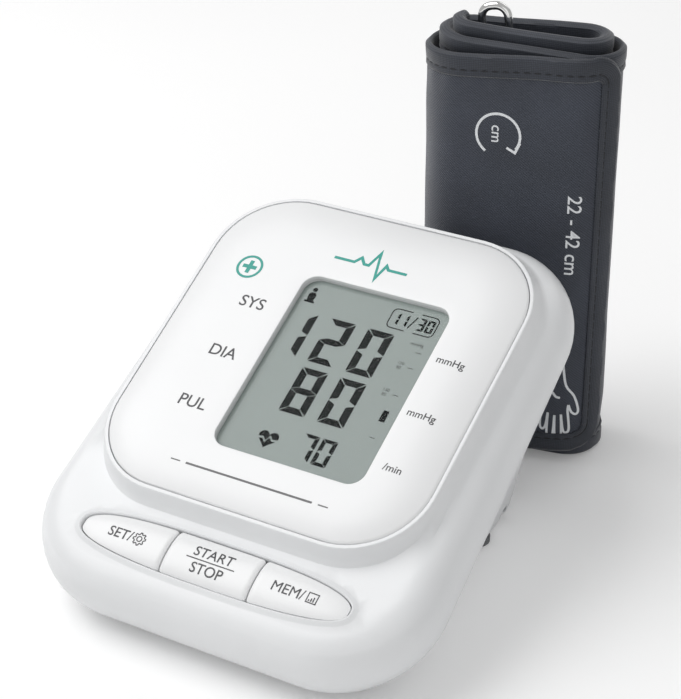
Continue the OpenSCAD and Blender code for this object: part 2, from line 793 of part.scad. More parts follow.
module cuff_cover() color([0.17, 0.2, 0.26]) cuff()
    roll_band(cloth_end, roll_end, function(a) 0, function(a) cloth_t, tape_w, cuff_h - tape_w);

module cuff_lining() color([0.2, 0.22, 0.28]) cuff()
    roll_band(cloth_end, roll_end, function(a) lining_depth(a), function(a) lining_depth(a) + cloth_t,
        tape_w, cuff_h - tape_w);

module cuff_bladder() color("dimgray") cuff()
    roll_band(merge_to + 20, roll_end - 30, function(a) cloth_t + layer_gap,
        function(a) cloth_t + layer_gap + bladder_t, tape_w + 5, cuff_h - tape_w - 5);

module hook_patch() color([0.1, 0.1, 0.12]) cuff() {
    d = lining_thin + cloth_t + layer_gap;
    roll_band(105, 210, function(a) d, function(a) d + patch_t, tape_w + 2, cuff_h - tape_w - 2);
}

module loop_patch() color([0.14, 0.14, 0.17]) cuff() {
    d = lining_thin + cloth_t + 2 * layer_gap + patch_t;
    roll_band(105, 375, function(a) d, function(a) d + patch_t, tape_w + 2, cuff_h - tape_w - 2);
}

module edge_binding(z0, z1) {
    roll_band(cloth_end, roll_end, function(a) 0, function(a) lining_depth(a) + cloth_t, z0, z1);
}

module top_binding() color([0.13, 0.15, 0.2]) cuff() edge_binding(cuff_h - tape_w, cuff_h);
module bottom_binding() color([0.13, 0.15, 0.2]) cuff() edge_binding(0, tape_w);

module end_binding() color([0.13, 0.15, 0.2]) cuff()
    roll_band(roll_start, cloth_end, function(a) 0, function(a) lining_thin + cloth_t, 0, cuff_h);

// Long wire ring, standing in the middle of the roll and leaning to the left in its own plane.
module cuff_ring() color("silver") cuff() {
    hw = ring_w / 2 - ring_wire / 2;
    hh = (cuff_h + ring_out - ring_lift) / 2 - ring_wire / 2;
    r = ring_corner;
    translate([0, ring_depth, hh + ring_wire / 2 + ring_lift]) rotate([90, ring_tilt, 0]) {
        for (sx = [-1, 1]) translate([sx * hw, r - hh, 0]) rotate([-90, 0, 0])
            cylinder(r = ring_wire / 2, h = 2 * (hh - r));
        for (sy = [-1, 1]) translate([r - hw, sy * hh, 0]) rotate([0, 90, 0])
            cylinder(r = ring_wire / 2, h = 2 * (hw - r));
        for (q = [[1, 1, 0], [-1, 1, 90], [-1, -1, 180], [1, -1, 270]])
            translate([q[0] * (hw - r), q[1] * (hh - r), 0]) rotate([0, 0, q[2]])
                rotate_extrude(angle = 90) translate([r, 0]) circle(r = ring_wire / 2);
    }
}

// Nipple on the back of the roll that the air hose pushes onto.
module cuff_port() color("gray") cuff() translate([port_x, roll_r(270), port_z]) rotate([-90, 0,
    0]) difference() {
    union() {
        cylinder(r = port_flange_r, h = port_flange_t);
        cylinder(r = port_r, h = port_flange_t + port_l);
    }
    translate([0, 0, -cut]) cylinder(r = 1.4, h = port_flange_t + port_l + 2 * cut);
}

top_shell();
bottom_shell();
faceplate();
window_lens();
lcd_glass();
lcd_holder();
contact_strips();
set_button();
start_button();
memory_button();
button_mat();
main_board();
board_chips();
board_screws();
pressure_sensor();
buzzer();
pump_motor();
pump_shaft();
pump_head();
pump_cradle();
valve_body();
valve_plunger();
valve_spring();
air_manifold();
socket_tube();
sensor_tube();
air_socket();
power_jack();
battery_cover();
battery_cells();
battery_springs();
battery_plates();
housing_screws();
feet();
cuff_cover();
cuff_lining();
cuff_bladder();
hook_patch();
loop_patch();
top_binding();
bottom_binding();
end_binding();
cuff_ring();
cuff_port();
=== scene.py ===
"""Upper-arm blood pressure monitor and its rolled arm cuff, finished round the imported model."""
import json
import math
from types import SimpleNamespace

import bmesh
import bpy
from bpy.props import FloatProperty, FloatVectorProperty, PointerProperty
from bpy.types import Operator, Panel, PropertyGroup
from mathutils import Matrix, Vector, noise


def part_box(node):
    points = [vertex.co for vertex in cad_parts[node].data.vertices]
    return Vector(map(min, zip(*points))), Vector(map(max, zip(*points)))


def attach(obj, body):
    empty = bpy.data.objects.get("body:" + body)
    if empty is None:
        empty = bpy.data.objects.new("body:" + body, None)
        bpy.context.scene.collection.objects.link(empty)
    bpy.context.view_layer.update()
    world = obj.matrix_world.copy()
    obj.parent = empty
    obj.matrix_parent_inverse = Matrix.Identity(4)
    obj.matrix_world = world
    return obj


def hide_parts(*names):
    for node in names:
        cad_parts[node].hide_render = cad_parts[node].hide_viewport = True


bl_info = {
    "name": "Arm Pressure Monitor",
    "version": (1, 0, 0),
    "blender": (4, 5, 0),
    "location": "View3D > Sidebar > Monitor",
    "description": "Builds the monitor's shells, display, buttons and rolled cuff round its frame",
    "category": "Object",
}

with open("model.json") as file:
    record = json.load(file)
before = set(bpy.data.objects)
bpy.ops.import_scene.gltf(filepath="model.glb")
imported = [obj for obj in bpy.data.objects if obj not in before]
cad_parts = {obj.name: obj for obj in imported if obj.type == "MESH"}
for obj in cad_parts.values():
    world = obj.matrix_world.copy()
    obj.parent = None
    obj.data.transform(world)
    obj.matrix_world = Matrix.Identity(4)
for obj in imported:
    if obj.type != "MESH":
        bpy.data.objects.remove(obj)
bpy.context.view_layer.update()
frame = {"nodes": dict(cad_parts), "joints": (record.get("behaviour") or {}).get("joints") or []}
MM = 0.001
TURN = 2 * math.pi


def length(name, text, value):
    """A size, given here in millimetres."""
    return FloatProperty(name=name, description=text, default=value * MM, unit="LENGTH")


def tint(name, text, colour):
    return FloatVectorProperty(name=name, description=text, default=colour, size=3, subtype="COLOR",
                               min=0, max=1)


class HousingSizes(PropertyGroup):
    """Sizes of the housing, its faceplate and its display."""
    front_w: length("Front width", "Width of the widest contour at the front", 132)
    back_w: length("Back width", "Width of the widest contour at the back", 125)
    front: length("Front reach", "From the middle of the faceplate to the front", 90)
    rear: length("Rear reach", "From the middle of the faceplate to the back", 65)
    front_r: length("Front corners", "Corner radius at the front", 32)
    rear_r: length("Rear corners", "Corner radius at the back", 29)
    shelf: length("Shelf depth", "Depth of the button shelf below the faceplate's middle", 9)
    shoulder: length("Shoulder", "Width of the rounded shoulder", 9)
    widest: length("Widest contour", "Depth of the widest contour", 21)
    split: length("Parting line", "Depth of the line between the two shells", 30)
    tuck: length("Tuck", "How far the sides tuck in below the widest contour", 6)
    wall: length("Wall", "Thickness of the shells", 2.2)
    base_front_w: length("Base front", "Width of the flat base at its front", 100)
    base_back_w: length("Base back", "Width of the flat base at its back", 89)
    base_front: length("Base front reach", "From the middle of the faceplate to the base's front", 58)
    base_rear: length("Base rear reach", "From the middle of the faceplate to the base's back", 60)
    base_front_r: length("Base front corners", "Corner radius of the base at the front", 24)
    base_back_r: length("Base rear corners", "Corner radius of the base at the back", 18)
    lip: length("Lip", "Width of the rim round the faceplate", 1.3)
    plate_w: length("Faceplate width", "Width of the faceplate", 106.4)
    plate_l: length("Faceplate length", "Length of the faceplate", 110)
    plate_r: length("Faceplate corners", "Corner radius of the faceplate", 24)
    crown: length("Crown", "Height of the faceplate's middle over its edge", 3)
    window_w: length("Window width", "Width of the display window", 50)
    window_l: length("Window length", "Length of the display window", 64.8)
    window_x: length("Window place", "Sideways place of the display window", 8.4)
    window_y: length("Window height", "Lengthways place of the display window", -5.1)
    window_r: length("Window corners", "Corner radius of the display window", 5)


class ButtonSizes(PropertyGroup):
    """Sizes of the row of buttons."""
    row_w: length("Row width", "Width of the whole row", 89.5)
    row_l: length("Row length", "Length of the row, front to back", 14)
    row_y: length("Row place", "From the middle of the faceplate to the row", 70.3)
    middle_w: length("Middle button", "Width of the middle button", 29.4)
    crown: length("Button crown", "Height of a button's middle over its edge", 1.8)
    slit: length("Slit", "Gap between two buttons", 0.5)


class CuffSizes(PropertyGroup):
    """Sizes of the rolled cuff."""
    depth: length("Roll depth", "Depth of the roll, front to back", 33)
    flat: length("Flat half", "Half the roll's flat stretch", 17)
    pitch: length("Turn pitch", "How much closer to the middle each turn lies", 4.1)
    height: length("Cloth height", "Height of the innermost turn", 146)
    tape: length("Tape width", "Width of the binding tape", 7)
    stitch: length("Stitch", "Length of one stitch with its gap", 3.3)
    cloth: length("Cloth", "Thickness of one layer of cloth", 0.6)


class Finishes(PropertyGroup):
    """Colours of the surfaces."""
    shell: tint("Shell", "Upper shell and lower shell", (0.83, 0.84, 0.85))
    plate: tint("Faceplate", "Faceplate and buttons", (0.88, 0.885, 0.89))
    glass: tint("Display", "Unlit liquid crystal glass", (0.31, 0.365, 0.345))
    ink: tint("Legends", "Printed legends", (0.055, 0.055, 0.06))
    teal: tint("Accent", "Printed accent marks", (0.012, 0.34, 0.28))
    cloth: tint("Cuff cloth", "Outer cloth of the cuff", (0.036, 0.042, 0.058))
    tape: tint("Binding", "Binding tape of the cuff", (0.034, 0.039, 0.052))
    thread: tint("Thread", "Sewing thread", (0.008, 0.009, 0.013))
    print: tint("Cuff print", "Printed marks on the cuff", (0.80, 0.82, 0.84))


def in_mm(group):
    """The sizes of a group as plain numbers in millimetres."""
    return SimpleNamespace(**{k: getattr(group, k) / MM for k in group.__annotations__})


def sizes(context):
    scene = context.scene
    return in_mm(scene.housing_sizes), in_mm(scene.button_sizes), in_mm(scene.cuff_sizes)


# ---- places taken from the frame -------------------------------------------------------------

def corners(node):
    """Lowest and highest corner of a node, in millimetres."""
    low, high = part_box(node)
    return Vector(low) / MM, Vector(high) / MM


def middle(node):
    low, high = corners(node)
    return (low + high) / 2


def joint(name):
    return next(j for j in frame["joints"] if j["name"] == name)


# The deck is tilted square to the way in which the buttons are pressed, and the window's pane
# lies in it: its own middle is WINDOW_PANE in the deck's frame.
PRESS = joint("set_press")["axis"]
TILT = math.atan2(PRESS[1], -PRESS[2])
WINDOW_PANE = Vector((8.4, -5.1, -1.7))
LEAN = Matrix.Rotation(TILT, 4, "X")
DECK = Matrix.Translation(middle("window_lens") - LEAN @ WINDOW_PANE) @ LEAN
UPRIGHT = Matrix.Identity(4)
MONITOR_Y = DECK.translation.y
BASE_Z = corners("battery_cover")[0].z


# ---- making meshes ---------------------------------------------------------------------------

def steps(first, last, count):
    """count + 1 evenly spaced numbers."""
    return [first + (last - first) * i / count for i in range(count + 1)]


def blend(a, b, t):
    return a + (b - a) * t


def ease(t):
    t = min(max(t, 0), 1)
    return t * t * (3 - 2 * t)


def follow(x, knots):
    """Value at x of a curve that eases from one (x, value) knot to the next."""
    for (x0, y0), (x1, y1) in zip(knots, knots[1:]):
        if x <= x1:
            return blend(y0, y1, ease((x - x0) / (x1 - x0)))
    return knots[-1][1]


def soft_max(a, b, width):
    """The larger of two heights, with a fillet of that width where they cross."""
    h = max(width - abs(a - b), 0) / width
    return max(a, b) + h * h * width / 4


def soft_min(a, b, width):
    return -soft_max(-a, -b, width)


def outline(front, back, y0, y1, r0, r1, corner=14, side=10):
    """Points round a shape whose half width goes from front to back, with round corners."""
    points = []
    places = [(back - r1, y1 - r1, r1, 0), (r1 - back, y1 - r1, r1, 90),
              (r0 - front, y0 + r0, r0, 180), (front - r0, y0 + r0, r0, 270)]
    for x, y, r, start in places:
        turn = [math.radians(a) for a in steps(start, start + 90, corner)]
        points.append([Vector((x + r * math.cos(a), y + r * math.sin(a))) for a in turn])
    ring = []
    for i, arc in enumerate(points):
        ring += arc
        following = points[(i + 1) % 4][0]
        ring += [arc[-1].lerp(following, t) for t in steps(0, 1, side)[1:-1]]
    return ring


def rounded(width, depth, r, **counts):
    return outline(width / 2, width / 2, -depth / 2, depth / 2, r, r, **counts)


def skin(place, around, along, ring=True, loop=False):
    """A sheet of quads that place(i, j) shapes: i runs round it and j along it."""
    bm = bmesh.new()
    bmesh.ops.create_grid(bm, x_segments=along, y_segments=around, size=1)
    for v in bm.verts:
        j = round((v.co.x + 1) / 2 * along)
        i = round((v.co.y + 1) / 2 * around)
        v.co = place(i % around if ring else i, j % along if loop else j)
    bmesh.ops.remove_doubles(bm, verts=bm.verts, dist=1e-4)
    bmesh.ops.recalc_face_normals(bm, faces=bm.faces)
    return bm


def add(bm, other):
    """Joins a second bmesh to the first."""
    mesh = bpy.data.meshes.new("joined")
    other.to_mesh(mesh)
    bm.from_mesh(mesh)
    other.free()
    bpy.data.meshes.remove(mesh)
    return bm


def slab(x0, x1, y0, y1, z0, z1):
    bm = bmesh.new()
    size = Matrix.Diagonal((x1 - x0, y1 - y0, z1 - z0, 1))
    at = Matrix.Translation(((x0 + x1) / 2, (y0 + y1) / 2, (z0 + z1) / 2))
    bmesh.ops.create_cube(bm, size=1, matrix=at @ size)
    return bm


def rod(centre, axis, r, depth, sides=48):
    """A cylinder whose middle is centre."""
    bm = bmesh.new()
    turn = Vector(axis).to_track_quat("Z", "Y").to_matrix().to_4x4()
    bmesh.ops.create_cone(bm, cap_ends=True, segments=sides, radius1=r, radius2=r, depth=depth,
                          matrix=Matrix.Translation(centre) @ turn)
    return bm


def prism(points, low, high):
    """A solid with that outline between two heights, which may be functions of x and y."""
    bottom = low if callable(low) else lambda x, y: low
    top = high if callable(high) else lambda x, y: high
    bm = bmesh.new()
    face = bm.faces.new([bm.verts.new((p[0], p[1], bottom(p[0], p[1]))) for p in points])
    raised = bmesh.ops.extrude_face_region(bm, geom=[face])["geom"]
    for v in raised:
        if isinstance(v, bmesh.types.BMVert):
            v.co.z = top(v.co.x, v.co.y)
    bmesh.ops.recalc_face_normals(bm, faces=bm.faces)
    return bm


def ribbon(path, width, closed=False):
    """Outline of a line of that width that follows a path."""
    left, right = [], []
    last = len(path) - 1
    for i, p in enumerate(path):
        before = Vector(path[(i - 1) % len(path)] if closed else path[max(i - 1, 0)])
        after = Vector(path[(i + 1) % len(path)] if closed else path[min(i + 1, last)])
        p = Vector(p)
        ways = [w.normalized() for w in (p - before, after - p) if w.length > 1e-6]
        way = sum(ways, Vector((0, 0))).normalized()
        side = Vector((-way.y, way.x))
        reach = width / 2 / max(side.dot(Vector((-ways[0].y, ways[0].x))), 0.3)
        left.append(p + side * reach)
        right.append(p - side * reach)
    return left, right


def line_solid(path, width, low, high, closed=False):
    """A flat line as a solid, laid between two heights."""
    left, right = ribbon(path, width, closed)
    rails = [left, right]
    bottom = low if callable(low) else lambda x, y: low
    top = high if callable(high) else lambda x, y: high

    def place(i, j):
        p = rails[1 if i in (1, 2) else 0][j]
        return Vector((p.x, p.y, (top if i >= 2 else bottom)(p.x, p.y)))

    bm = skin(place, 4, len(path) - (0 if closed else 1), loop=closed)
    if not closed:
        bmesh.ops.holes_fill(bm, edges=[e for e in bm.edges if e.is_boundary])
        bmesh.ops.recalc_face_normals(bm, faces=bm.faces)
    return bm


def smooth_path(points, count=8):
    """A smooth curve through listed points."""
    p = [Vector(q) for q in points]
    path = []
    for i in range(len(p) - 1):
        a, b, c, d = p[max(i - 1, 0)], p[i], p[i + 1], p[min(i + 2, len(p) - 1)]
        for k in range(count):
            t = k / count
            path.append(0.5 * (2 * b + (c - a) * t + (2 * a - 5 * b + 4 * c - d) * t ** 2
                               + (3 * b - 3 * c + d - a) * t ** 3))
    return path + [p[-1]]


def lettering(text, height, x, y, low, high, weight=0.0, turn=0.0):
    """Letters as thin solids: height is that of a capital, and their middle lies at x, y."""
    curve = bpy.data.curves.new("letters", "FONT")
    curve.body = text
    curve.align_x = "CENTER"
    curve.extrude = 0.5
    curve.offset = weight
    curve.resolution_u = 5
    holder = bpy.data.objects.new("letters", curve)
    bpy.context.scene.collection.objects.link(holder)
    mesh = holder.evaluated_get(bpy.context.evaluated_depsgraph_get()).to_mesh()
    bm = bmesh.new()
    bm.from_mesh(mesh)
    bmesh.ops.remove_doubles(bm, verts=bm.verts, dist=1e-5)
    capital = 0.69
    swing = Matrix.Rotation(turn, 2)
    for v in bm.verts:
        flat = swing @ Vector((v.co.x, v.co.y - capital / 2)) * (height / capital)
        px, py = flat.x + x, flat.y + y
        limit = high if v.co.z > 0 else low
        v.co = (px, py, limit(px, py) if callable(limit) else limit)
    bpy.data.objects.remove(holder)
    bpy.data.curves.remove(curve)
    return bm


def solid_mesh(bm, name, matrix):
    mesh = bpy.data.meshes.new(name)
    bm.to_mesh(mesh)
    bm.free()
    mesh.transform(Matrix.Scale(MM, 4) @ matrix)
    return mesh


def carve(mesh, cutters, operation="DIFFERENCE", solver="EXACT"):
    """The mesh with each cutter taken from it or joined to it."""
    base = bpy.data.objects.new("base", mesh)
    bpy.context.scene.collection.objects.link(base)
    tools = []
    for cutter in cutters:
        tool = bpy.data.objects.new("tool", cutter)
        bpy.context.scene.collection.objects.link(tool)
        tools.append(tool)
        step = base.modifiers.new("carve", "BOOLEAN")
        step.operation, step.object, step.solver = operation, tool, solver
    shaped = bpy.data.meshes.new_from_object(base.evaluated_get(bpy.context.evaluated_depsgraph_get()))
    for spent in [base, *tools]:
        old = spent.data
        bpy.data.objects.remove(spent)
        bpy.data.meshes.remove(old)
    return shaped


def finish(name, mesh, body, material, slot, replaces=(), crease=32):
    """Makes a mesh a piece of the object."""
    mesh.name = name
    mesh.materials.clear()
    mesh.materials.append(material)
    mesh.shade_smooth()
    mesh.set_sharp_from_angle(angle=math.radians(crease))
    piece = bpy.data.objects.new(name, mesh)
    bpy.context.scene.collection.objects.link(piece)
    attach(piece, body)
    if replaces:
        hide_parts(*replaces)
    return piece


# ---- materials -------------------------------------------------------------------------------

def node(tree, kind, links=(), **values):
    """A shader node with its inputs set, and linked from (input, socket) pairs."""
    made = tree.nodes.new(kind)
    for key, value in values.items():
        if hasattr(made, key):
            setattr(made, key, value)
        else:
            made.inputs[key.replace("_", " ")].default_value = value
    for key, socket in links:
        tree.links.new(socket, made.inputs[key])
    return made


def blank(name, roughness=0.4, metallic=0.0, **values):
    """A material with a Principled shader, and the tree and shader to build on."""
    material = bpy.data.materials.new(name)
    material.use_nodes = True
    tree = material.node_tree
    shader = tree.nodes["Principled BSDF"]
    shader.inputs["Roughness"].default_value = roughness
    shader.inputs["Metallic"].default_value = metallic
    for key, value in values.items():
        shader.inputs[key.replace("_", " ")].default_value = value
    return material, tree, shader


def vary(tree, shader, colour, spread, field, roughness=None, rough_spread=0.0):
    """Colour and roughness that drift with a field from 0 to 1."""
    ramp = node(tree, "ShaderNodeValToRGB", [("Fac", field)])
    low, high = ramp.color_ramp.elements
    low.color = [max(c * (1 - spread), 0) for c in colour] + [1]
    high.color = [min(c * (1 + spread), 1) for c in colour] + [1]
    low.position, high.position = 0.3, 0.7
    tree.links.new(ramp.outputs["Color"], shader.inputs["Base Color"])
    if roughness is not None:
        span = node(tree, "ShaderNodeMapRange", [("Value", field)],
                    To_Min=roughness - rough_spread, To_Max=roughness + rough_spread)
        tree.links.new(span.outputs["Result"], shader.inputs["Roughness"])


def grain(tree, coords, scale, detail=3.0, **more):
    return node(tree, "ShaderNodeTexNoise", [("Vector", coords)], Scale=scale, Detail=detail, **more)


def emboss(tree, shader, height, strength, distance):
    bump = node(tree, "ShaderNodeBump", [("Height", height)], Strength=strength, Distance=distance)
    tree.links.new(bump.outputs["Normal"], shader.inputs["Normal"])
    return bump


def moulded(name, colour, roughness, spread=0.02, texture=900, depth=0.00002, **more):
    """Moulded plastic or rubber: a fine even texture and a slow drift in gloss."""
    material, tree, shader = blank(name, **more)
    place = node(tree, "ShaderNodeTexCoord").outputs["Object"]
    drift = grain(tree, place, 35, 2).outputs["Fac"]
    vary(tree, shader, colour, spread, drift, roughness, 0.04)
    emboss(tree, shader, grain(tree, place, texture, 4).outputs["Fac"], 0.35, depth)
    return material


def metal(name, colour, roughness, stretch=(1, 1, 1), depth=0.00001):
    """Bright metal with the marks of its making, drawn out along one axis."""
    material, tree, shader = blank(name, metallic=1.0)
    place = node(tree, "ShaderNodeTexCoord").outputs["Object"]
    drawn = node(tree, "ShaderNodeMapping", [("Vector", place)], Scale=stretch)
    marks = grain(tree, drawn.outputs["Vector"], 700, 5).outputs["Fac"]
    vary(tree, shader, colour, 0.12, grain(tree, place, 120).outputs["Fac"], roughness, 0.08)
    emboss(tree, shader, marks, 0.3, depth)
    return material


def bands(tree, coords, pitch, turn):
    """Stripes of a pitch in metres across the cloth, turned by an angle."""
    turned = node(tree, "ShaderNodeMapping", [("Vector", coords)], Rotation=(0, 0, math.radians(turn)))
    return node(tree, "ShaderNodeTexWave", [("Vector", turned.outputs["Vector"])],
                Scale=TURN / 20 / pitch, bands_direction="X").outputs["Fac"]


def woven(name, colour, roughness, pitch, turns, spread=0.28, depth=0.00012, sheen=0.25, tone=0.18):
    """Woven cloth: threads run at the given angles over the piece's own UV map."""
    material, tree, shader = blank(name, Sheen_Weight=sheen, Sheen_Roughness=0.45,
                                   Specular_IOR_Level=0.42)
    coords = node(tree, "ShaderNodeTexCoord").outputs["UV"]
    weave = bands(tree, coords, pitch, turns[0])
    for angle in turns[1:]:
        other = bands(tree, coords, pitch, angle)
        weave = node(tree, "ShaderNodeMath", operation="MULTIPLY",
                     links=[(0, weave), (1, other)]).outputs["Value"]
    wear = grain(tree, coords, 45, 4).outputs["Fac"]
    fuzz = grain(tree, coords, 2600, 2).outputs["Fac"]
    mixed = node(tree, "ShaderNodeMath", operation="MULTIPLY_ADD", links=[(0, fuzz), (2, weave)])
    mixed.inputs[1].default_value = 0.5
    vary(tree, shader, colour, spread, mixed.outputs["Value"], roughness, 0.07)
    ramp = shader.inputs["Base Color"].links[0].from_socket
    worn = node(tree, "ShaderNodeMapRange", [("Value", wear)],
                From_Min=0.3, From_Max=0.75, To_Min=1 - tone, To_Max=1 + tone)
    scaled = node(tree, "ShaderNodeVectorMath", operation="SCALE",
                  links=[(0, ramp), ("Scale", worn.outputs["Result"])])
    tree.links.new(scaled.outputs["Vector"], shader.inputs["Base Color"])
    emboss(tree, shader, mixed.outputs["Value"], 0.8, depth)
    return material


def clear_pane(name, colour, alpha):
    """A thin clear pane with a faint tint, its colour and gloss drifting a little."""
    material, tree, shader = blank(name, roughness=0.04, IOR=1.49)
    place = node(tree, "ShaderNodeTexCoord").outputs["Object"]
    vary(tree, shader, colour, 0.05, grain(tree, place, 60).outputs["Fac"], 0.05, 0.02)
    shader.inputs["Alpha"].default_value = alpha
    return material


def crystal(name, colour):
    """Liquid crystal glass: a very fine grid under a satin polariser."""
    material, tree, shader = blank(name, Coat_Weight=0.25, Coat_Roughness=0.2)
    place = node(tree, "ShaderNodeTexCoord").outputs["Object"]
    cells = node(tree, "ShaderNodeTexVoronoi", [("Vector", place)], Scale=2200)
    cloudy = grain(tree, place, 28, 2).outputs["Fac"]
    blended = node(tree, "ShaderNodeMath", operation="MULTIPLY_ADD",
                   links=[(0, cells.outputs["Distance"]), (2, cloudy)])
    blended.inputs[1].default_value = 0.12
    vary(tree, shader, colour, 0.05, blended.outputs["Value"], 0.42, 0.05)
    return material


def circuit(name):
    """Solder mask with a faint pattern of tracks under it."""
    material, tree, shader = blank(name, Coat_Weight=0.4)
    place = node(tree, "ShaderNodeTexCoord").outputs["Object"]
    bricks = node(tree, "ShaderNodeTexBrick", [("Vector", place)], Scale=260)
    bricks.inputs["Color1"].default_value = (0.008, 0.11, 0.035, 1)
    bricks.inputs["Color2"].default_value = (0.014, 0.16, 0.05, 1)
    bricks.inputs["Mortar"].default_value = (0.03, 0.24, 0.09, 1)
    tree.links.new(bricks.outputs["Color"], shader.inputs["Base Color"])
    emboss(tree, shader, bricks.outputs["Fac"], 0.3, 0.00003)
    return material


def cell_sleeve(name):
    """Battery sleeve: a coloured end band and a dark body, along the cell."""
    material, tree, shader = blank(name, roughness=0.28, Coat_Weight=0.5)
    place = node(tree, "ShaderNodeTexCoord").outputs["Object"]
    split = node(tree, "ShaderNodeSeparateXYZ", [("Vector", place)])
    start, end = corners("battery_cells")[0].y * MM, corners("battery_cells")[1].y * MM
    along = node(tree, "ShaderNodeMapRange", [("Value", split.outputs["Y"])], From_Min=start, From_Max=end)
    ramp = node(tree, "ShaderNodeValToRGB", [("Fac", along.outputs["Result"])])
    ramp.color_ramp.interpolation = "CONSTANT"
    first, last = ramp.color_ramp.elements
    first.color, last.color = (0.02, 0.02, 0.025, 1), (0.7, 0.24, 0.03, 1)
    last.position = 0.7
    tree.links.new(ramp.outputs["Color"], shader.inputs["Base Color"])
    emboss(tree, shader, grain(tree, place, 500).outputs["Fac"], 0.2, 0.00001)
    return material


# ---- the housing's shapes, in the deck's frame --------------------------------------------------

SEAM = 0.2
FLOOR = 4.9
PLATEAU_SLOPE = 3.2


def contour(s, inset, **counts):
    """Outline of the housing, parallel to the deck, that far inside its widest contour."""
    return outline(s.front_w / 2 - inset, s.back_w / 2 - inset, inset - s.front, s.rear - inset,
                   s.front_r - 0.6 * inset, s.rear_r - 0.6 * inset, **counts)


def inside(s, x, y):
    """How far a point lies inside the housing's widest contour."""
    low, high = s.front_r - s.front, s.rear - s.rear_r
    t = min(max((y - low) / (high - low), 0), 1)
    half, r = blend(s.front_w, s.back_w, t) / 2, blend(s.front_r, s.rear_r, t)
    qx = abs(x) - (half - r)
    qy = max(low - y, y - high) + (r - (s.front_r if y < 0 else s.rear_r))
    return r - math.hypot(max(qx, 0), max(qy, 0)) - min(max(qx, qy), 0)


def outside_plate(s, x, y):
    """How far a point lies outside the faceplate."""
    qx = abs(x) - (s.plate_w / 2 - s.plate_r)
    qy = abs(y) - (s.plate_l / 2 - s.plate_r)
    return math.hypot(max(qx, 0), max(qy, 0)) + min(max(qx, qy), 0) - s.plate_r


def shoulder_height(s, inset):
    """Height of the rounded shoulder at a distance inside the widest contour."""
    t = min(max(1 - inset / s.shoulder, 0), 1)
    return -s.shelf - (s.widest - s.shelf) * (1 - math.sqrt(max(1 - t * t, 0)))


def deck_height(s, x, y):
    """Height of the shell outside the faceplate: its rim, the wall below it and the shoulder."""
    out = outside_plate(s, x, y) - SEAM
    wall = -s.crown - PLATEAU_SLOPE * (out - s.lip)
    rim = soft_min(-s.crown, wall, 0.9)
    return soft_max(rim, shoulder_height(s, inside(s, x, y)), 4.2)


def side_inset(s, depth):
    """How far the side lies inside the widest contour, at a depth below it."""
    reach = s.split + 4 - s.widest
    return s.tuck * ((depth - s.widest) / reach) ** 2


def plate_height(s, x, y):
    """Height of the crowned faceplate."""
    into = max(-outside_plate(s, x, y), 0)
    return -s.crown * max(1 - into / 22, 0) ** 3.5


def top_profile():
    """Places down the upper shell, from the seat of the faceplate round to its inner wall."""
    near = [("near", d) for d in (0.15, 0.5, 0.9, 1.15, 1.3, 1.45, 1.7, 2.0, 2.4, 2.9, 3.5, 4.2)]
    across = [("across", t) for t in (0.2, 0.4, 0.6, 0.8)]
    edge = [("edge", d) for d in (4.8, 4.0, 3.2, 2.5, 1.8, 1.2, 0.75, 0.4, 0.15, 0.03)]
    side = [("side", h) for h in (21, 22.5, 24, 25.5, 27, 28.3, 29.5, 29.85)]
    inner = [("inner", h) for h in (29.85, 24, 21, 15)]
    return [("seat", 9), ("seat", 0), ("seam", 4.0), *near, *across, *edge, *side, ("lip", 30),
            *inner, ("under", 8), ("under", 0), ("back", 9)]


def top_point(s, plate, body, kind, value, i):
    """One point of the upper shell."""
    a, b = plate[i], body[i]
    way = b - a
    if kind in ("near", "across", "edge"):
        span = way.length
        t = {"near": value / span, "edge": 1 - value / span}.get(kind)
        if t is None:
            t = blend(4.2 / span, 1 - 4.8 / span, value)
        p = a + way * t
        return Vector((p.x, p.y, deck_height(s, p.x, p.y)))
    if kind in ("seat", "back"):
        p = a * (1 - value / a.length)
        return Vector((p.x, p.y, -FLOOR if kind == "seat" else -FLOOR - s.wall))
    if kind == "seam":
        return Vector((a.x, a.y, -value))
    if kind == "under":
        p = a + way.normalized() * (-s.wall + value * 0.3)
        return Vector((p.x, p.y, -FLOOR - s.wall - value * 0.5))
    inset = side_inset(s, value) if value > s.widest else 0
    inset += {"side": 0, "lip": 0.5, "inner": s.wall}[kind]
    if kind == "inner" and value < s.widest:
        inset += 3
    ring = s.rings.setdefault(round(inset, 3), contour(s, inset))
    return Vector((ring[i].x, ring[i].y, -value))


def oval(b, margin, count=96):
    """The long oval of the button row, grown by a margin."""
    power = 2 / 2.6
    points = []
    for k in range(count):
        c, v = math.cos(TURN * k / count), math.sin(TURN * k / count)
        points.append(Vector((math.copysign(abs(c) ** power, c) * (b.row_w / 2 + margin),
                              math.copysign(abs(v) ** power, v) * (b.row_l / 2 + margin) - b.row_y)))
    return points


def button_rim(s, b):
    """The raised rim round the buttons."""
    profile = [(0.35, -2.4), (0.35, 0.15), (0.5, 0.5), (0.85, 0.68), (1.3, 0.55), (1.8, 0.2),
               (2.4, 0.03), (3.0, -0.25), (3.0, -0.9), (1.4, -2.4)]
    rings = [oval(b, d) for d, _ in profile]
    return skin(lambda i, j: Vector((*rings[j][i], profile[j][1] - s.shelf)),
                len(rings[0]), len(profile), loop=True)


def base_outline(s, inset):
    """Outline of the flat base, in the monitor's own upright frame."""
    return outline(s.base_front_w / 2 - inset, s.base_back_w / 2 - inset,
                   inset - s.base_front, s.base_rear - inset,
                   s.base_front_r - 0.6 * inset, s.base_back_r - 0.6 * inset)


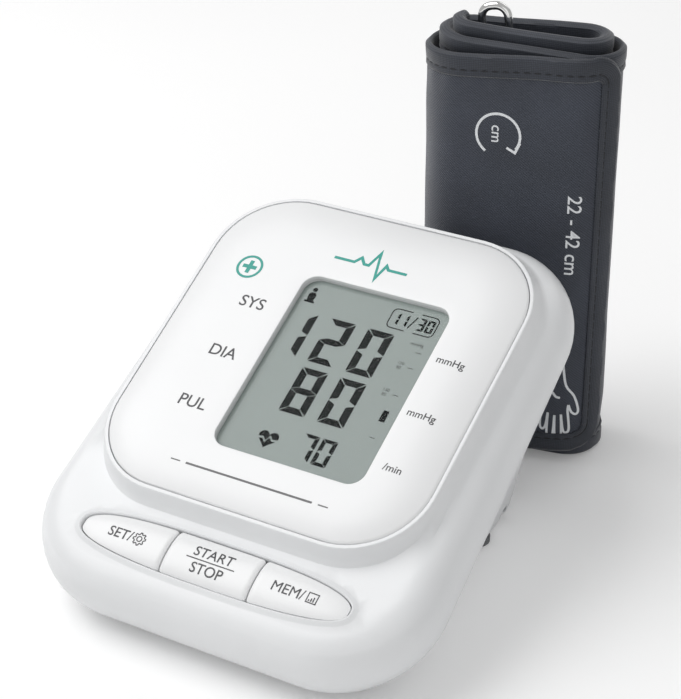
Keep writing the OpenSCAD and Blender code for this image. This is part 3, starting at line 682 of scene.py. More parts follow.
class BuildHousing(Operator):
    """Builds the upper and lower shells"""
    bl_idname = "monitor.build_housing"
    bl_label = "Housing"

    def execute(self, context):
        s, b, _ = sizes(context)
        s.rings = {}
        colour = context.scene.finishes
        white = moulded("white_abs", colour.shell, 0.34, Coat_Weight=0.15, Coat_Roughness=0.25)
        self.upper(s, b, white)
        self.lower(s, white)
        return {"FINISHED"}

    def upper(self, s, b, white):
        """The upper shell, with its openings for the buttons, the air socket and the jack."""
        plate = rounded(s.plate_w + 2 * SEAM, s.plate_l + 2 * SEAM, s.plate_r + SEAM)
        body = contour(s, 0)
        profile = top_profile()
        shell = skin(lambda i, j: top_point(s, plate, body, *profile[j], i),
                     len(plate), len(profile), loop=True)
        openings = [prism(oval(b, 1.0), -30, -2)]
        socket = DECK.inverted() @ middle("air_socket")
        jack = DECK.inverted() @ middle("power_jack")
        for place, r in ((socket, 5.6), (jack, 3.2)):
            openings.append(rod((-s.front_w / 2, place.y, place.z), (1, 0, 0), r, 20))
        mesh = carve(solid_mesh(shell, "upper", DECK), [solid_mesh(o, "cut", DECK) for o in openings])
        rim = solid_mesh(button_rim(s, b), "rim", DECK)
        mesh = carve(mesh, [rim], "UNION")
        finish("upper_shell", mesh, "monitor", white, "white_housing", ["top_shell"])

    def lower(self, s, white):
        """The lower shell, with its battery bay, screw wells and seats for the feet."""
        edge = [(s.split + 0.1, 0.6), (s.split + 0.25, 0.1), (31.5, 0), (33, 0), (34, 0)]
        outside = self.hull(s, edge, 0, [(0.35, 0.55), (1.2, 0)])
        hollow = self.hull(s, [(s.split - 1, 0), (34, 0)], s.wall, [(0.5, 0.3), (1.2, 0)])
        walls = [solid_mesh(o, "wall", UPRIGHT) for o in self.inner_walls()]
        cavity = carve(solid_mesh(hollow, "cavity", UPRIGHT), walls)
        cuts = [solid_mesh(o, "cut", UPRIGHT) for o in self.underside_cuts()]
        mesh = carve(solid_mesh(outside, "lower", UPRIGHT), [cavity, *cuts])
        finish("lower_shell", mesh, "monitor", white, "white_housing", ["bottom_shell"])

    def hull(self, s, edge, inset, rim):
        """The lower body as a closed solid that far inside its own outside."""
        sides = [[DECK @ Vector((*p, -h)) for p in contour(s, side_inset(s, h) + extra + inset)]
                 for h, extra in edge]
        base = base_outline(s, inset)
        floor = BASE_Z + inset

        def fall(i, t):
            """From the lowest deck contour down to the base, in one soft curve."""
            start, end = sides[-1][i], Vector((base[i].x, base[i].y + MONITOR_Y, floor + 1.6))
            span = end - start
            way = (sides[-1][i] - sides[-2][i]).normalized() * 0.25 + span.normalized() * 0.75
            leave = start + way * span.length / 3
            arrive = end - span / 4
            return (start * (1 - t) ** 3 + leave * 3 * t * (1 - t) ** 2
                    + arrive * 3 * t ** 2 * (1 - t) + end * t ** 3)

        def foot(i, far, lift):
            p = base[i] * (1 - far / base[i].length)
            return Vector((p.x, p.y + MONITOR_Y, floor + lift))

        count = len(base)
        rings = [*sides, *[[fall(i, t) for i in range(count)] for t in steps(0, 1, 12)[1:]]]
        rings += [[foot(i, far, lift) for i in range(count)] for far, lift in rim]
        ends = DECK @ Vector((0, 0, -edge[0][0])), Vector((0, MONITOR_Y, floor))

        def place(i, j):
            if 0 < j <= len(rings):
                return rings[j - 1][i]
            return ends[0 if j == 0 else 1]

        return skin(place, count, len(rings) + 1)

    def inner_walls(self):
        """Walls of the battery bay, and the posts that the screws stand in."""
        low, high = corners("battery_cells")
        cover_low, cover_high = corners("battery_cover")
        bay = slab(low.x - 2, high.x + 2, low.y - 8, high.y + 2.5, BASE_Z + 0.5, high.z + 2.4)
        floor = slab(cover_low.x - 4, cover_high.x + 4, cover_low.y - 3, cover_high.y - 1,
                     BASE_Z + 0.2, BASE_Z + 5)
        return [bay, floor, *[rod((x, y, BASE_Z + 6), (0, 0, 1), 3.8, 14) for x, y in self.wells()]]

    def wells(self):
        """Middles of the four screw wells."""
        low, high = corners("housing_screws")
        head = 2.5
        return [(x, y) for x in (low.x + head, high.x - head) for y in (low.y + head, high.y - head)]

    def underside_cuts(self):
        """Everything that opens in the base."""
        low, high = corners("battery_cells")
        cover_low, cover_high = corners("battery_cover")
        feet_low, feet_high = corners("feet")
        cuts = [
            slab(low.x - 0.4, high.x + 0.4, low.y - 6.4, high.y + 1, -1, high.z + 0.8),
            slab(cover_low.x + 1.7, cover_high.x - 1.7, cover_low.y - 0.3, cover_high.y + 9,
                 -1, BASE_Z + 1.2),
            slab(cover_low.x - 0.3, cover_high.x + 0.3, cover_low.y - 0.3, cover_high.y + 9,
                 BASE_Z + 1.1, BASE_Z + 2.5),
        ]
        cuts += [rod((x, y, BASE_Z + 1), (0, 0, 1), 2.6, 6) for x, y in self.wells()]
        foot, front_x = 4.5, 34
        front_y, back_y = feet_low.y + foot, feet_high.y - foot
        seats = ((feet_low.x + foot, back_y), (feet_high.x - foot, back_y),
                 (-front_x, front_y), (front_x, front_y))
        for x, y in seats:
            cuts.append(rod((x, y, BASE_Z), (0, 0, 1), 4.6, 2))
        return cuts


class BuildFaceplate(Operator):
    """Builds the crowned faceplate with its window and printed legends"""
    bl_idname = "monitor.build_faceplate"
    bl_label = "Faceplate"

    def execute(self, context):
        s, _, _ = sizes(context)
        colour = context.scene.finishes
        gloss = moulded("gloss_white", colour.plate, 0.34, 0.01, 500, 0.000008,
                        Coat_Weight=0.2, Coat_Roughness=0.3)
        ink = moulded("legend_ink", colour.ink, 0.45, 0.05, 1500, 0.000004)
        teal = moulded("teal_ink", colour.teal, 0.4, 0.05, 1500, 0.000004)
        self.plate(s, gloss)
        self.legends(s, ink, teal)
        return {"FINISHED"}

    def plate(self, s, gloss):
        edge = rounded(s.plate_w, s.plate_l, s.plate_r)
        hole = [p + Vector((s.window_x, s.window_y)) for p in rounded(s.window_w, s.window_l, s.window_r)]
        spans = (0, 0.35, 0.8, 1.4, 2.2, 3.2, 4.5, 6, 8, 10.5)

        def place(i, j):
            a, b = edge[i], hole[i]
            way = b - a
            if j < len(spans):
                p = a + way.normalized() * spans[j]
                return Vector((p.x, p.y, plate_height(s, p.x, p.y) - (0.3 if j == 0 else 0)))
            k = j - len(spans)
            if k < 5:
                t = blend(10.5 / way.length, 1 - 0.5 / way.length, (k + 1) / 5)
                p = a + way * t
                return Vector((p.x, p.y, plate_height(s, p.x, p.y)))
            wall = [(0.15, -0.05), (0.0, -0.2), (0.0, -2.15), (-0.02, -4.6)]
            if k - 5 < len(wall):
                out, h = wall[k - 5]
                p = b - way.normalized() * out
                return Vector((p.x, p.y, h))
            p = a if k - 5 - len(wall) else a + way.normalized() * 6
            return Vector((p.x, p.y, -4.7))

        total = len(spans) + 5 + 4 + 2
        plate = skin(place, len(edge), total, loop=True)
        mesh = solid_mesh(plate, "plate", DECK)
        finish("crowned_faceplate", mesh, "monitor", gloss, "white_gloss", ["faceplate"])

    def legends(self, s, ink, teal):
        """Legends beside the display, a plain pulse line and a rule, as thin printed solids."""
        def low(x, y):
            return plate_height(s, x, y) - 0.15
        def high(x, y):
            return plate_height(s, x, y) + 0.06

        words = bmesh.new()
        texts = (("SYS", -28.4, 12.0, 4.0), ("DIA", -28.4, -7.3, 3.9), ("PUL", -28.4, -26.5, 3.9),
                 ("mmHg", 40.2, 9.9, 2.3), ("mmHg", 40.0, -9.6, 2.3), ("/min", 40.0, -28.6, 2.3))
        for text, x, y, tall in texts:
            add(words, lettering(text, tall, x, y, low, high, 0.004))
        finish("legends", solid_mesh(words, "legends", DECK), "monitor", ink, "white_gloss")

        rule = bmesh.new()
        for first, last, wide in ((-25, -21.8, 0.35), (-19.8, 22.6, 0.6), (24.6, 27.8, 0.35)):
            add(rule, line_solid([(x, -46.1) for x in steps(first, last, 10)], wide, low, high))
        soft = moulded("soft_ink", (0.13, 0.13, 0.135), 0.45, 0.05, 1500, 0.000004)
        finish("rule", solid_mesh(rule, "rule", DECK), "monitor", soft, "white_gloss")

        pulse = [(-11.5, 35.4), (-4.6, 35.4), (-2.9, 37.6), (-1.2, 35.4), (0.4, 35.4), (2.2, 40.8),
                 (4.4, 31.2), (6.0, 36.8), (7.2, 35.4), (13.5, 35.4)]
        marks = line_solid(pulse, 0.95, low, high)
        x, y, r = -36.2, 24.2, 4.0
        add(marks, line_solid([(x + r * math.cos(a), y + r * math.sin(a)) for a in steps(0, TURN, 40)[:-1]],
                              0.8, low, high, closed=True))
        arm, half = 2.4, 0.65
        cross = [(half, arm), (-half, arm), (-half, half), (-arm, half), (-arm, -half), (-half, -half),
                 (-half, -arm), (half, -arm), (half, -half), (arm, -half), (arm, half), (half, half)]
        add(marks, prism([(x + u, y + v) for u, v in cross], low, high))
        finish("accent_marks", solid_mesh(marks, "marks", DECK), "monitor", teal, "white_gloss")


def heart(x, y, width):
    """A plain heart's outline."""
    points = []
    for a in steps(0, TURN, 44)[:-1]:
        px = 16 * math.sin(a) ** 3
        py = 13 * math.cos(a) - 5 * math.cos(2 * a) - 2 * math.cos(3 * a) - math.cos(4 * a)
        points.append(Vector((x + px * width / 32, y + py * width / 32)))
    return points


# Lit bars of each figure, named a to g clockwise from the top, with g in the middle.
FIGURES = {"0": "abcdef", "1": "bc", "2": "abged", "3": "abgcd", "7": "abc", "8": "abcdefg"}


def bar(name, x, y, w, h, t, gap):
    """Outline of one bar of a figure whose lower left corner is x, y."""
    r, top, mid, half = x + w, y + h, y + h / 2, t * 0.42
    tall = t * 0.85
    upper_right = [(r, top - gap * 2), (r, mid + gap), (r - t, mid + half + gap), (r - t, top - tall - gap)]
    across = [(x + gap * 2, top), (r - gap * 2, top),
              (r - t - gap * 0.3, top - tall), (x + t + gap * 0.3, top - tall)]
    centre = [(x + gap, mid), (x + t, mid + half), (r - t, mid + half),
              (r - gap, mid), (r - t, mid - half), (x + t, mid - half)]
    shapes = {
        "a": across, "b": upper_right, "g": centre,
        "c": [(p, 2 * mid - q) for p, q in upper_right],
        "d": [(p, 2 * mid - q) for p, q in across],
        "f": [(2 * x + w - p, q) for p, q in upper_right],
        "e": [(2 * x + w - p, 2 * mid - q) for p, q in upper_right],
    }
    return shapes[name]


class BuildDisplay(Operator):
    """Builds the lit figures of the display and finishes its glass"""
    bl_idname = "monitor.build_display"
    bl_label = "Display"

    def execute(self, context):
        colour = context.scene.finishes
        dark = moulded("dark_figures", (0.006, 0.007, 0.007), 0.6, 0.1, 1500, 0.000003,
                       Specular_IOR_Level=0.08)
        faint = moulded("faint_figures", (0.05, 0.06, 0.056), 0.6, 0.1, 1500, 0.000003,
                        Specular_IOR_Level=0.1)
        top = (DECK.inverted() @ middle("lcd_glass")).z + 1
        low, high = top - 0.06, top + 0.03
        figures = bmesh.new()
        rows = [("1 2 0", 8.75, 16.5, 2.5, -1.25), (" 8 0", 8.75, 16.3, 2.5, -19.9)]
        for line, w, h, t, y in rows:
            for k, figure in enumerate(reversed(line.split())):
                self.figure(figures, figure, 10 - 13 * k, y, w, h, t, low, high)
        for x, figure in ((14.95, "0"), (9.0, "7")):
            self.figure(figures, figure, x, -33.75, 4.95, 9.15, 1.35, low, high)
        for x, figure in ((15.1, "1"), (18.0, "1"), (23.7, "3"), (26.6, "0")):
            self.figure(figures, figure, x, 18.7, 2.4, 4.6, 0.78, low, high)
        add(figures, line_solid([(21.2, 18.7), (22.8, 23.3)], 0.42, low, high))
        for part in self.date_frame():
            add(figures, line_solid(part, 0.36, low, high))
        add(figures, self.person(low, high))
        add(figures, slab(27.6, 29.5, -14.1, -10.15, low, high))
        for shape in self.split_heart():
            add(figures, prism(shape, low, high))
        finish("lit_figures", solid_mesh(figures, "figures", DECK), "monitor", dark, "display")
        small = bmesh.new()
        add(small, lettering("mmHg", 1.1, 26.8, 14.1, low, high))
        for y in (11.3, 5.6, -4.5, -19.9):
            add(small, line_solid([(27.6, y), (29.4, y)], 0.22, low, high))
        for text, y in (("120", 6.6), ("80", 5.0), ("130", -3.4), ("85", -5.0)):
            add(small, lettering(text, 1.05, 25.0, y, low, high))
        finish("scale_marks", solid_mesh(small, "scale", DECK), "monitor", faint, "display")
        dress("lcd_glass", crystal("crystal_glass", colour.glass))
        dress("window_lens", clear_pane("clear_window", (0.05, 0.06, 0.06), 0.06))
        return {"FINISHED"}

    def figure(self, bm, figure, x, y, w, h, t, low, high):
        for name in FIGURES[figure]:
            shape = bar(name, x, y, w, h, t, 0.06 * t)
            add(bm, prism(shape, low, high))

    def date_frame(self):
        """The frame round the date, broken at its middle."""
        ring = [p + Vector((22.1, 21.0)) for p in rounded(15.4, 7.1, 1.6, corner=5, side=16)]
        left = [p for p in ring if p.x < 21.3]
        right = [p for p in ring if p.x > 23.0]
        left.sort(key=lambda p: math.atan2(p.y - 21, 20.2 - p.x))
        right.sort(key=lambda p: math.atan2(p.y - 21, p.x - 24.0))
        return left, right

    def person(self, low, high):
        """A small bust with a round head."""
        head = [(-12.75 + 0.8 * math.cos(a), 23.5 + 0.8 * math.sin(a)) for a in steps(0, TURN, 16)[:-1]]
        body = [(-14.5, 18.6), (-11.0, 18.6), (-11.0, 19.3), (-11.7, 19.3), (-11.4, 21.5), (-12.0, 22.4),
                (-13.5, 22.4), (-14.1, 21.5), (-13.8, 19.3), (-14.5, 19.3)]
        return add(prism(head, low, high), prism(body, low, high))

    def split_heart(self):
        """A heart with a pulse line left open across it."""
        whole = heart(-1.2, -29.9, 6.6)
        step = 0.35
        def line(x):
            return -30.0 + 1.1 * math.sin(2.4 * (x + 1.2)) * math.exp(-0.5 * (x + 1.2) ** 2)
        upper = [p for p in whole if p.y > line(p.x) + step]
        lower = [p for p in whole if p.y < line(p.x) - step]
        xs = steps(-3.9, 1.5, 18)
        upper.sort(key=lambda p: math.atan2(p.x + 1.2, p.y + 30))
        lower.sort(key=lambda p: -math.atan2(p.x + 1.2, -p.y - 30))
        right_first = [Vector((x, line(x) + step)) for x in reversed(xs)]
        left_first = [Vector((x, line(x) - step)) for x in reversed(xs)]
        return upper + right_first, list(reversed(lower)) + list(left_first)


def dress(name, material):
    """Gives a carried-over node its finish."""
    piece = frame["nodes"][name]
    for k in range(len(piece.material_slots)):
        piece.material_slots[k].material = material
    if not piece.material_slots:
        piece.data.materials.append(material)


class BuildButtons(Operator):
    """Builds the three pillowed buttons and their legends"""
    bl_idname = "monitor.build_buttons"
    bl_label = "Buttons"

    def execute(self, context):
        s, b, _ = sizes(context)
        gloss = bpy.data.materials["gloss_white"]
        ink = bpy.data.materials["legend_ink"]
        edge = b.middle_w / 2
        spans = {"set": (-b.row_w / 2, -edge), "start": (-edge, edge), "memory": (edge, b.row_w / 2)}
        for name, (x0, x1) in spans.items():
            def high(x, y):
                return self.height(s, b, x, y, x0, x1) + 0.09
            def low(x, y):
                return self.height(s, b, x, y, x0, x1) - 0.2
            key = self.button(s, b, x0, x1)
            mesh = solid_mesh(key, name, DECK)
            finish(f"{name}_key_cap", mesh, f"{name}_key", gloss, "white_gloss", [f"{name}_button"])
            legend = getattr(self, name)(low, high)
            finish(f"{name}_legend", solid_mesh(legend, name, DECK), f"{name}_key", ink, "white_gloss")
        return {"FINISHED"}

    def height(self, s, b, x, y, x0, x1):
        """Height of a button's pillowed face."""
        u, v = abs(x) / (b.row_w / 2), abs(y + b.row_y) / (b.row_l / 2)
        swell = max(1 - u ** 5 - v ** 2.2, 0) ** 0.8
        near = min(x - x0 if x0 > -b.row_w / 2 else 9, x1 - x if x1 < b.row_w / 2 else 9)
        drop = 0.55 * max(1 - max(near - b.slit / 2, 0) / 1.1, 0) ** 2
        return -s.shelf - 0.3 + b.crown * swell - drop

    def button(self, s, b, x0, x1):
        """One button as a closed solid, with a skirt below its face."""
        count = 128
        full = oval(b, 0, 720)
        left, right = x0 + b.slit / 2, x1 - b.slit / 2
        clipped = [Vector((min(max(p.x, left), right), p.y)) for p in full]
        middle_x = (max(x0, -b.row_w / 2) + min(x1, b.row_w / 2)) / 2
        centre = Vector((middle_x, -b.row_y))
        edge = []
        for k in range(count):
            a = TURN * k / count
            way = Vector((math.cos(a), math.sin(a) * 0.6)).normalized()
            best = max(clipped, key=lambda p: (p - centre).normalized().dot(way))
            edge.append(best)
        edge = self.even(edge, count)
        rings = (0, 0.25, 0.5, 0.68, 0.8, 0.88, 0.94, 0.975, 0.995, 1)
        skirt = [(1, -0.35), (1, -2.6), (0.6, -2.6), (0, -2.6)]

        def place(i, j):
            if j < len(rings):
                p = centre.lerp(edge[i], rings[j])
                return Vector((p.x, p.y, self.height(s, b, p.x, p.y, x0, x1)))
            share, drop = skirt[j - len(rings)]
            p = centre.lerp(edge[i], share)
            return Vector((p.x, p.y, -s.shelf - 0.3 + drop))

        return skin(place, count, len(rings) + len(skirt) - 1)

    def even(self, points, count):
        """The same closed outline with its points evenly spaced."""
        lengths = [0.0]
        for k in range(count):
            lengths.append(lengths[-1] + (points[(k + 1) % count] - points[k]).length)
        spaced, k = [], 0
        for want in steps(0, lengths[-1], count)[:-1]:
            while lengths[k + 1] < want:
                k += 1
            t = (want - lengths[k]) / max(lengths[k + 1] - lengths[k], 1e-9)
            spaced.append(points[k].lerp(points[(k + 1) % count], t))
        return spaced

    def set(self, low, high):
        """SET and a small gear."""
        legend = lettering("SET/", 3.1, -31.0, -70.4, low, high, 0.004)
        gear = []
        for k in range(32):
            r = 2.05 if k % 4 in (0, 1) else 1.55
            a = TURN * k / 32
            gear.append((-24.4 + r * math.cos(a), -70.4 + r * math.sin(a)))
        add(legend, line_solid(gear, 0.3, low, high, closed=True))
        hub = [(-24.4 + 0.8 * math.cos(a), -70.4 + 0.8 * math.sin(a)) for a in steps(0, TURN, 20)[:-1]]
        return add(legend, line_solid(hub, 0.3, low, high, closed=True))

    def start(self, low, high):
        """START over STOP, with a rule between them."""
        legend = lettering("START", 3.1, 0, -67.9, low, high, 0.004)
        add(legend, lettering("STOP", 3.1, 0, -73.0, low, high, 0.004))
        return add(legend, line_solid([(x, -70.45) for x in steps(-8, 8, 8)], 0.32, low, high))

    def memory(self, low, high):
        """MEM and a small notepad."""
        legend = lettering("MEM/", 3.1, 25.6, -70.3, low, high)
        x, y = 33.4, -70.3
        pad = [(x - 1.5, y - 1.5), (x + 1.5, y - 1.5), (x + 1.5, y + 1.5), (x - 1.5, y + 1.5)]
        add(legend, line_solid(pad, 0.3, low, high, closed=True))
        for k, tall in enumerate((0.5, 1.0, 1.5)):
            bar_x = x - 0.8 + 0.7 * k
            add(legend, line_solid([(bar_x, y - 1.1), (bar_x, y - 1.1 + tall)], 0.34, low, high))
        return legend


# ---- the rolled cuff -----------------------------------------------------------------------------

LOW_CORNER, HIGH_CORNER = 10.0, 8.5


class Roll:
    """The winding path of the cuff, by length from its free end, and its height there."""

    def __init__(self, c):
        self.c = c
        self.start, self.end = 30, 930
        self.track = []
        self.walk()

    def radius(self, a):
        return self.c.depth / 2 - self.c.pitch * (a - self.start) / 360

    def walk(self):
        """Points every few degrees round the ends, and every few millimetres along the flats."""
        places = []
        for angle in range(self.start, self.end + 1, 3):
            side = 1 if math.sin(math.radians(angle + 90)) > 0 else -1
            if (angle - 90) % 180 == 0:
                side = 1 if (angle - 90) % 360 == 0 else -1
                places += [(angle, t) for t in steps(side, -side, 20)]
            else:
                places.append((angle, side))
        far = 0.0
        last = None
        for angle, side in places:
            a = math.radians(angle)
            r = self.radius(angle)
            p = Vector((side * self.c.flat + r * math.cos(a), -r * math.sin(a)))
            far += (p - last).length if last else 0
            last = p
            self.track.append((far, p, Vector((math.cos(a), -math.sin(a))), angle))
        self.length = far

    def at_length(self, s):
        """Place, outward direction and winding angle at a length from the free end."""
        s = min(max(s, 0), self.length - 1e-6)
        lo, hi = 0, len(self.track) - 1
        while hi - lo > 1:
            mid = (lo + hi) // 2
            if self.track[mid][0] <= s:
                lo = mid
            else:
                hi = mid
        a, b = self.track[lo], self.track[hi]
        t = (s - a[0]) / max(b[0] - a[0], 1e-9)
        return a[1].lerp(b[1], t), a[2].lerp(b[2], t).normalized(), blend(a[3], b[3], t)

    def inner_depth(self, angle):
        """Depth of the lining's inner face: the bladder starts a turn in from the free end."""
        return 1.9 + 1.9 * ease((angle - 400) / 60)

    def top(self, s):
        """Height of the upper edge that far along the roll: the inner turns stand higher."""
        knots = [(0, 142.8), (22, 141.6), (75, 138.6), (170, 141.8), (225, 143.8), (300, 145.2),
                 (345, 147.0), (400, 147.3)]
        return follow(s, knots) + 0.25 * math.sin(s / 9) * math.sin(s / 23)

    def bottom(self, s):
        return follow(s, [(0, 5.2), (30, 3.0), (75, 1.2), (170, 0.3), (400, 0.0)])

    def span(self, s):
        """Lowest and highest height of the cloth, its corners rounded at the free end."""
        low, high = self.bottom(s), self.top(s)
        for r, sign in ((LOW_CORNER, 1), (HIGH_CORNER, -1)):
            rise = r - math.sqrt(r * r - max(r - s, 0) ** 2)
            low, high = (low + rise, high) if sign > 0 else (low, high - rise)
        return low, high

    def place(self, s, z, depth):
        """A point of the cuff in the frame, a depth inside the roll's outer face."""
        p, out, _ = self.at_length(s)
        p = p - out * depth
        return self.world @ Vector((p.x, p.y, z))


def cloth_sheet(place, flat, across, along, thickness):
    """A layer of cloth: a sheet with UVs in metres of flat cloth, made a thin slab."""
    bm = bmesh.new()
    bmesh.ops.create_grid(bm, x_segments=along, y_segments=across, size=1)
    layer = bm.loops.layers.uv.new("UVMap")
    cells = {}
    for v in bm.verts:
        cells[v] = (round((v.co.y + 1) / 2 * across), round((v.co.x + 1) / 2 * along))
    for face in bm.faces:
        for loop in face.loops:
            u, w = flat(*cells[loop.vert])
            loop[layer].uv = (u * MM, w * MM)
    for v, cell in cells.items():
        v.co = place(*cell)
    bmesh.ops.recalc_face_normals(bm, faces=bm.faces)
    if thickness:
        bmesh.ops.solidify(bm, geom=bm.faces[:], thickness=thickness)
    return bm


class BuildCuff(Operator):
    """Builds the rolled cuff: cloth, lining, tapes, stitches and printed marks"""
    bl_idname = "monitor.build_cuff"
    bl_label = "Cuff"

    def execute(self, context):
        _, _, c = sizes(context)
        colour = context.scene.finishes
        roll = Roll(c)
        middle_ring = middle("cuff_ring")
        yaw = math.radians(10)
        turn = Matrix.Rotation(yaw, 4, "Z")
        inset = turn @ Vector((0, 0.4, 0))
        roll.world = Matrix.Translation((middle_ring.x - inset.x, middle_ring.y - inset.y, 0)) @ turn
        twill = woven("cuff_twill", colour.cloth, 0.5, 0.0007, (52,), 0.34, 0.00013, 0.3)
        plain = woven("cuff_plain", colour.cloth, 0.6, 0.0006, (0, 90), 0.3, 0.00008, 0.2)
        tape = woven("binding_tape", colour.tape, 0.52, 0.00055, (0, 90), 0.3, 0.0001, 0.3)
        thread = moulded("thread", colour.thread, 0.5, 0.2, 2500, 0.00005)
        paint = moulded("cuff_print", colour.print, 0.55, 0.04, 1800, 0.00003)
        self.cover(roll, c, twill)
        self.lining(roll, c, plain)
        self.binding(roll, c, tape)
        self.stitches(roll, c, thread)
        self.inner_layers(roll)
        self.prints(roll, c, paint)
        return {"FINISHED"}

    def bulge(self, roll, c, s, z):
        """How far the cover stands off its middle surface: soft folds between the tapes."""
        low, high = roll.bottom(s) + c.tape, roll.top(s) - c.tape
        t = min(max((z - low) / (high - low), 0), 1)
        free = ease(min(t, 1 - t) * 9) * ease((s - 6) / 12)
        broad = noise.noise(Vector((s / 26, z / 60, 1.7)))
        folds = broad + 0.45 * noise.noise(Vector((s / 9, z / 21, 4.1)))
        pucker = 0.16 * math.sin(TURN * s / (2.3 * c.stitch)) * math.exp(-min(t, 1 - t) * (high - low) / 5)
        return free * (0.25 + 0.55 * folds) + pucker

    def cover(self, roll, c, material):
        """Outer cloth, from under the free end's tape to the ring."""
        along, across = int((roll.length - 1.5) / 1.5), 56
        lengths = steps(1.2, roll.length - 0.5, along)

        def spot(i, j):
            s = lengths[j]
            low, high = roll.span(s)
            return s, blend(low + 1.2, high - 1.2, i / across)

        def place(i, j):
            s, z = spot(i, j)
            return roll.place(s, z, 0.55 - self.bulge(roll, c, s, z))

        bm = cloth_sheet(place, spot, across, along, 0)
        piece = self.sheet_piece("cuff_cloth", bm, material, "cuff_nylon", ["cuff_cover"], c.cloth)

    def lining(self, roll, c, material):
        """Inner cloth, next to the arm."""
        along, across = int(roll.length / 2.2), 30
        lengths = steps(1.2, roll.length - 0.5, along)

        def spot(i, j):
            s = lengths[j]
            low, high = roll.span(s)
            return s, blend(low + 1.2, high - 1.2, i / across)

        def place(i, j):
            s, z = spot(i, j)
            angle = roll.at_length(s)[2]
            ripple = 0.15 * noise.noise(Vector((s / 17, z / 34, 9.0)))
            return roll.place(s, z, roll.inner_depth(angle) - 0.75 + ripple)

        bm = cloth_sheet(place, spot, across, along, 0)
        piece = self.sheet_piece("cuff_inner_cloth", bm, material, "cuff_lining", ["cuff_lining"], c.cloth)

    def sheet_piece(self, name, bm, material, slot, replaces, thickness):
        mesh = solid_mesh(bm, name, UPRIGHT)
        piece = finish(name, mesh, "cuff", material, slot, replaces, 50)
        thick = piece.modifiers.new("thickness", "SOLIDIFY")
        thick.thickness = thickness * MM
        thick.offset = 0
        return piece

    def edge_path(self, roll, c):
        """The cloth's edge as (length, height, inward direction) from the ring round the free end."""
        r_low, r_high = LOW_CORNER, HIGH_CORNER
        step = c.stitch / 2
        path = []
        count = int((roll.length - r_low) / step)
        path += [(s, roll.bottom(s), (0, 1)) for s in steps(roll.length - 0.5, r_low, count)]
        base, top = roll.bottom(0), roll.top(0)
        for a in steps(0, 90, 9)[1:]:
            t = math.radians(a)
            path.append((r_low - r_low * math.sin(t), base + r_low - r_low * math.cos(t),
                         (math.sin(t), math.cos(t))))
        for z in steps(base + r_low, top - r_high, int((top - base - r_low - r_high) / step))[1:]:
            path.append((0, z, (1, 0)))
        for a in steps(0, 90, 9)[1:]:
            t = math.radians(a)
            path.append((r_high - r_high * math.cos(t), top - r_high + r_high * math.sin(t),
                         (math.cos(t), -math.sin(t))))
        path += [(s, roll.top(s), (0, -1)) for s in steps(r_high, roll.length - 0.5, count)[1:]]
        return path

    def binding(self, roll, c, material):
        """Tape folded over the cloth's whole edge, puckered along its seam."""
        path = self.edge_path(roll, c)
        seam = c.tape - 2.0
        legs = [c.tape, c.tape - 0.5, seam + 0.45, seam, seam - 0.45, 4.2, 2.8, 1.6, 0.9]
        turn_over = [(0.35, 0.15), (0.05, 0.36), (0.0, 0.5), (0.05, 0.64), (0.35, 0.85)]
        section = [(d, 0) for d in legs] + turn_over + [(d, 1) for d in reversed(legs)]
        run = [0.0]
        for a, b in zip(path, path[1:]):
            run.append(run[-1] + math.hypot(b[0] - a[0], b[1] - a[1]))

        def lift(j, inset):
            """Height of the tape over the cloth: a groove at the seam, pulled in by each stitch."""
            near = math.exp(-((inset - seam) / 0.7) ** 2)
            pull = 0.14 * math.cos(TURN * run[j] / c.stitch) * math.exp(-((inset - seam) / 2.2) ** 2)
            slack = 0.22 * noise.noise(Vector((run[j] / 7, inset / 5, 2.0)))
            edge = 0.3 * ease((c.tape - inset) / 0.8)
            return 0.12 + edge - 0.34 * near - pull + slack * ease((seam - inset) / 3)

        def place(i, j):
            s, z, inward = path[j]
            inset, across = section[i]
            s2, z2 = s + inward[0] * inset, z + inward[1] * inset
            angle = roll.at_length(s2)[2]
            outer, inner = 0.25, roll.inner_depth(angle) - 0.45
            depth = blend(outer, inner, across)
            lifted = lift(j, inset) * (1 if across == 0 else -1 if across == 1 else 0)
            if across == 1:
                lifted *= 0.5
            return roll.place(s2, max(z2, 0.3), depth - lifted)

        def flat(i, j):
            return run[j], sum(math.hypot(section[k + 1][0] - section[k][0],
                                          2 * (section[k + 1][1] - section[k][1])) for k in range(i))

        bm = cloth_sheet(place, flat, len(section) - 1, len(path) - 1, 0)
        piece = self.sheet_piece("cuff_binding", bm, material, "binding_tape",
                                 ["top_binding", "bottom_binding", "end_binding"], 0.42)

    def stitches(self, roll, c, material):
        """The seam of the tape: one short thread for each stitch of the outer turns."""
        path = self.edge_path(roll, c)
        seam = c.tape - 2.0
        threads = bmesh.new()
        limit = 215
        half = c.stitch * 0.4
        spots = [(p, q) for p, q in zip(path[::2], path[1::2]) if p[0] < limit]
        ring = [(-1, 0.03), (-0.8, 0.26), (0, 0.34), (0.8, 0.26), (1, 0.03)]
        for p, q in spots:
            s = p[0] + p[2][0] * seam
            z = p[1] + p[2][1] * seam
            way = Vector((q[0] - p[0], q[1] - p[1])).normalized()
            side = Vector((-way.y, way.x))

            def place(i, j, s=s, z=z, way=way, side=side):
                along, r = ring[j]
                a = TURN * i / 6
                at = Vector((s, z)) + way * along * half + side * r * math.cos(a)
                return roll.place(at.x, at.y, 0.1 - r * math.sin(a))

            add(threads, skin(place, 6, len(ring) - 1))
        finish("cuff_stitches", solid_mesh(threads, "stitches", UPRIGHT), "cuff", material, "binding_tape")

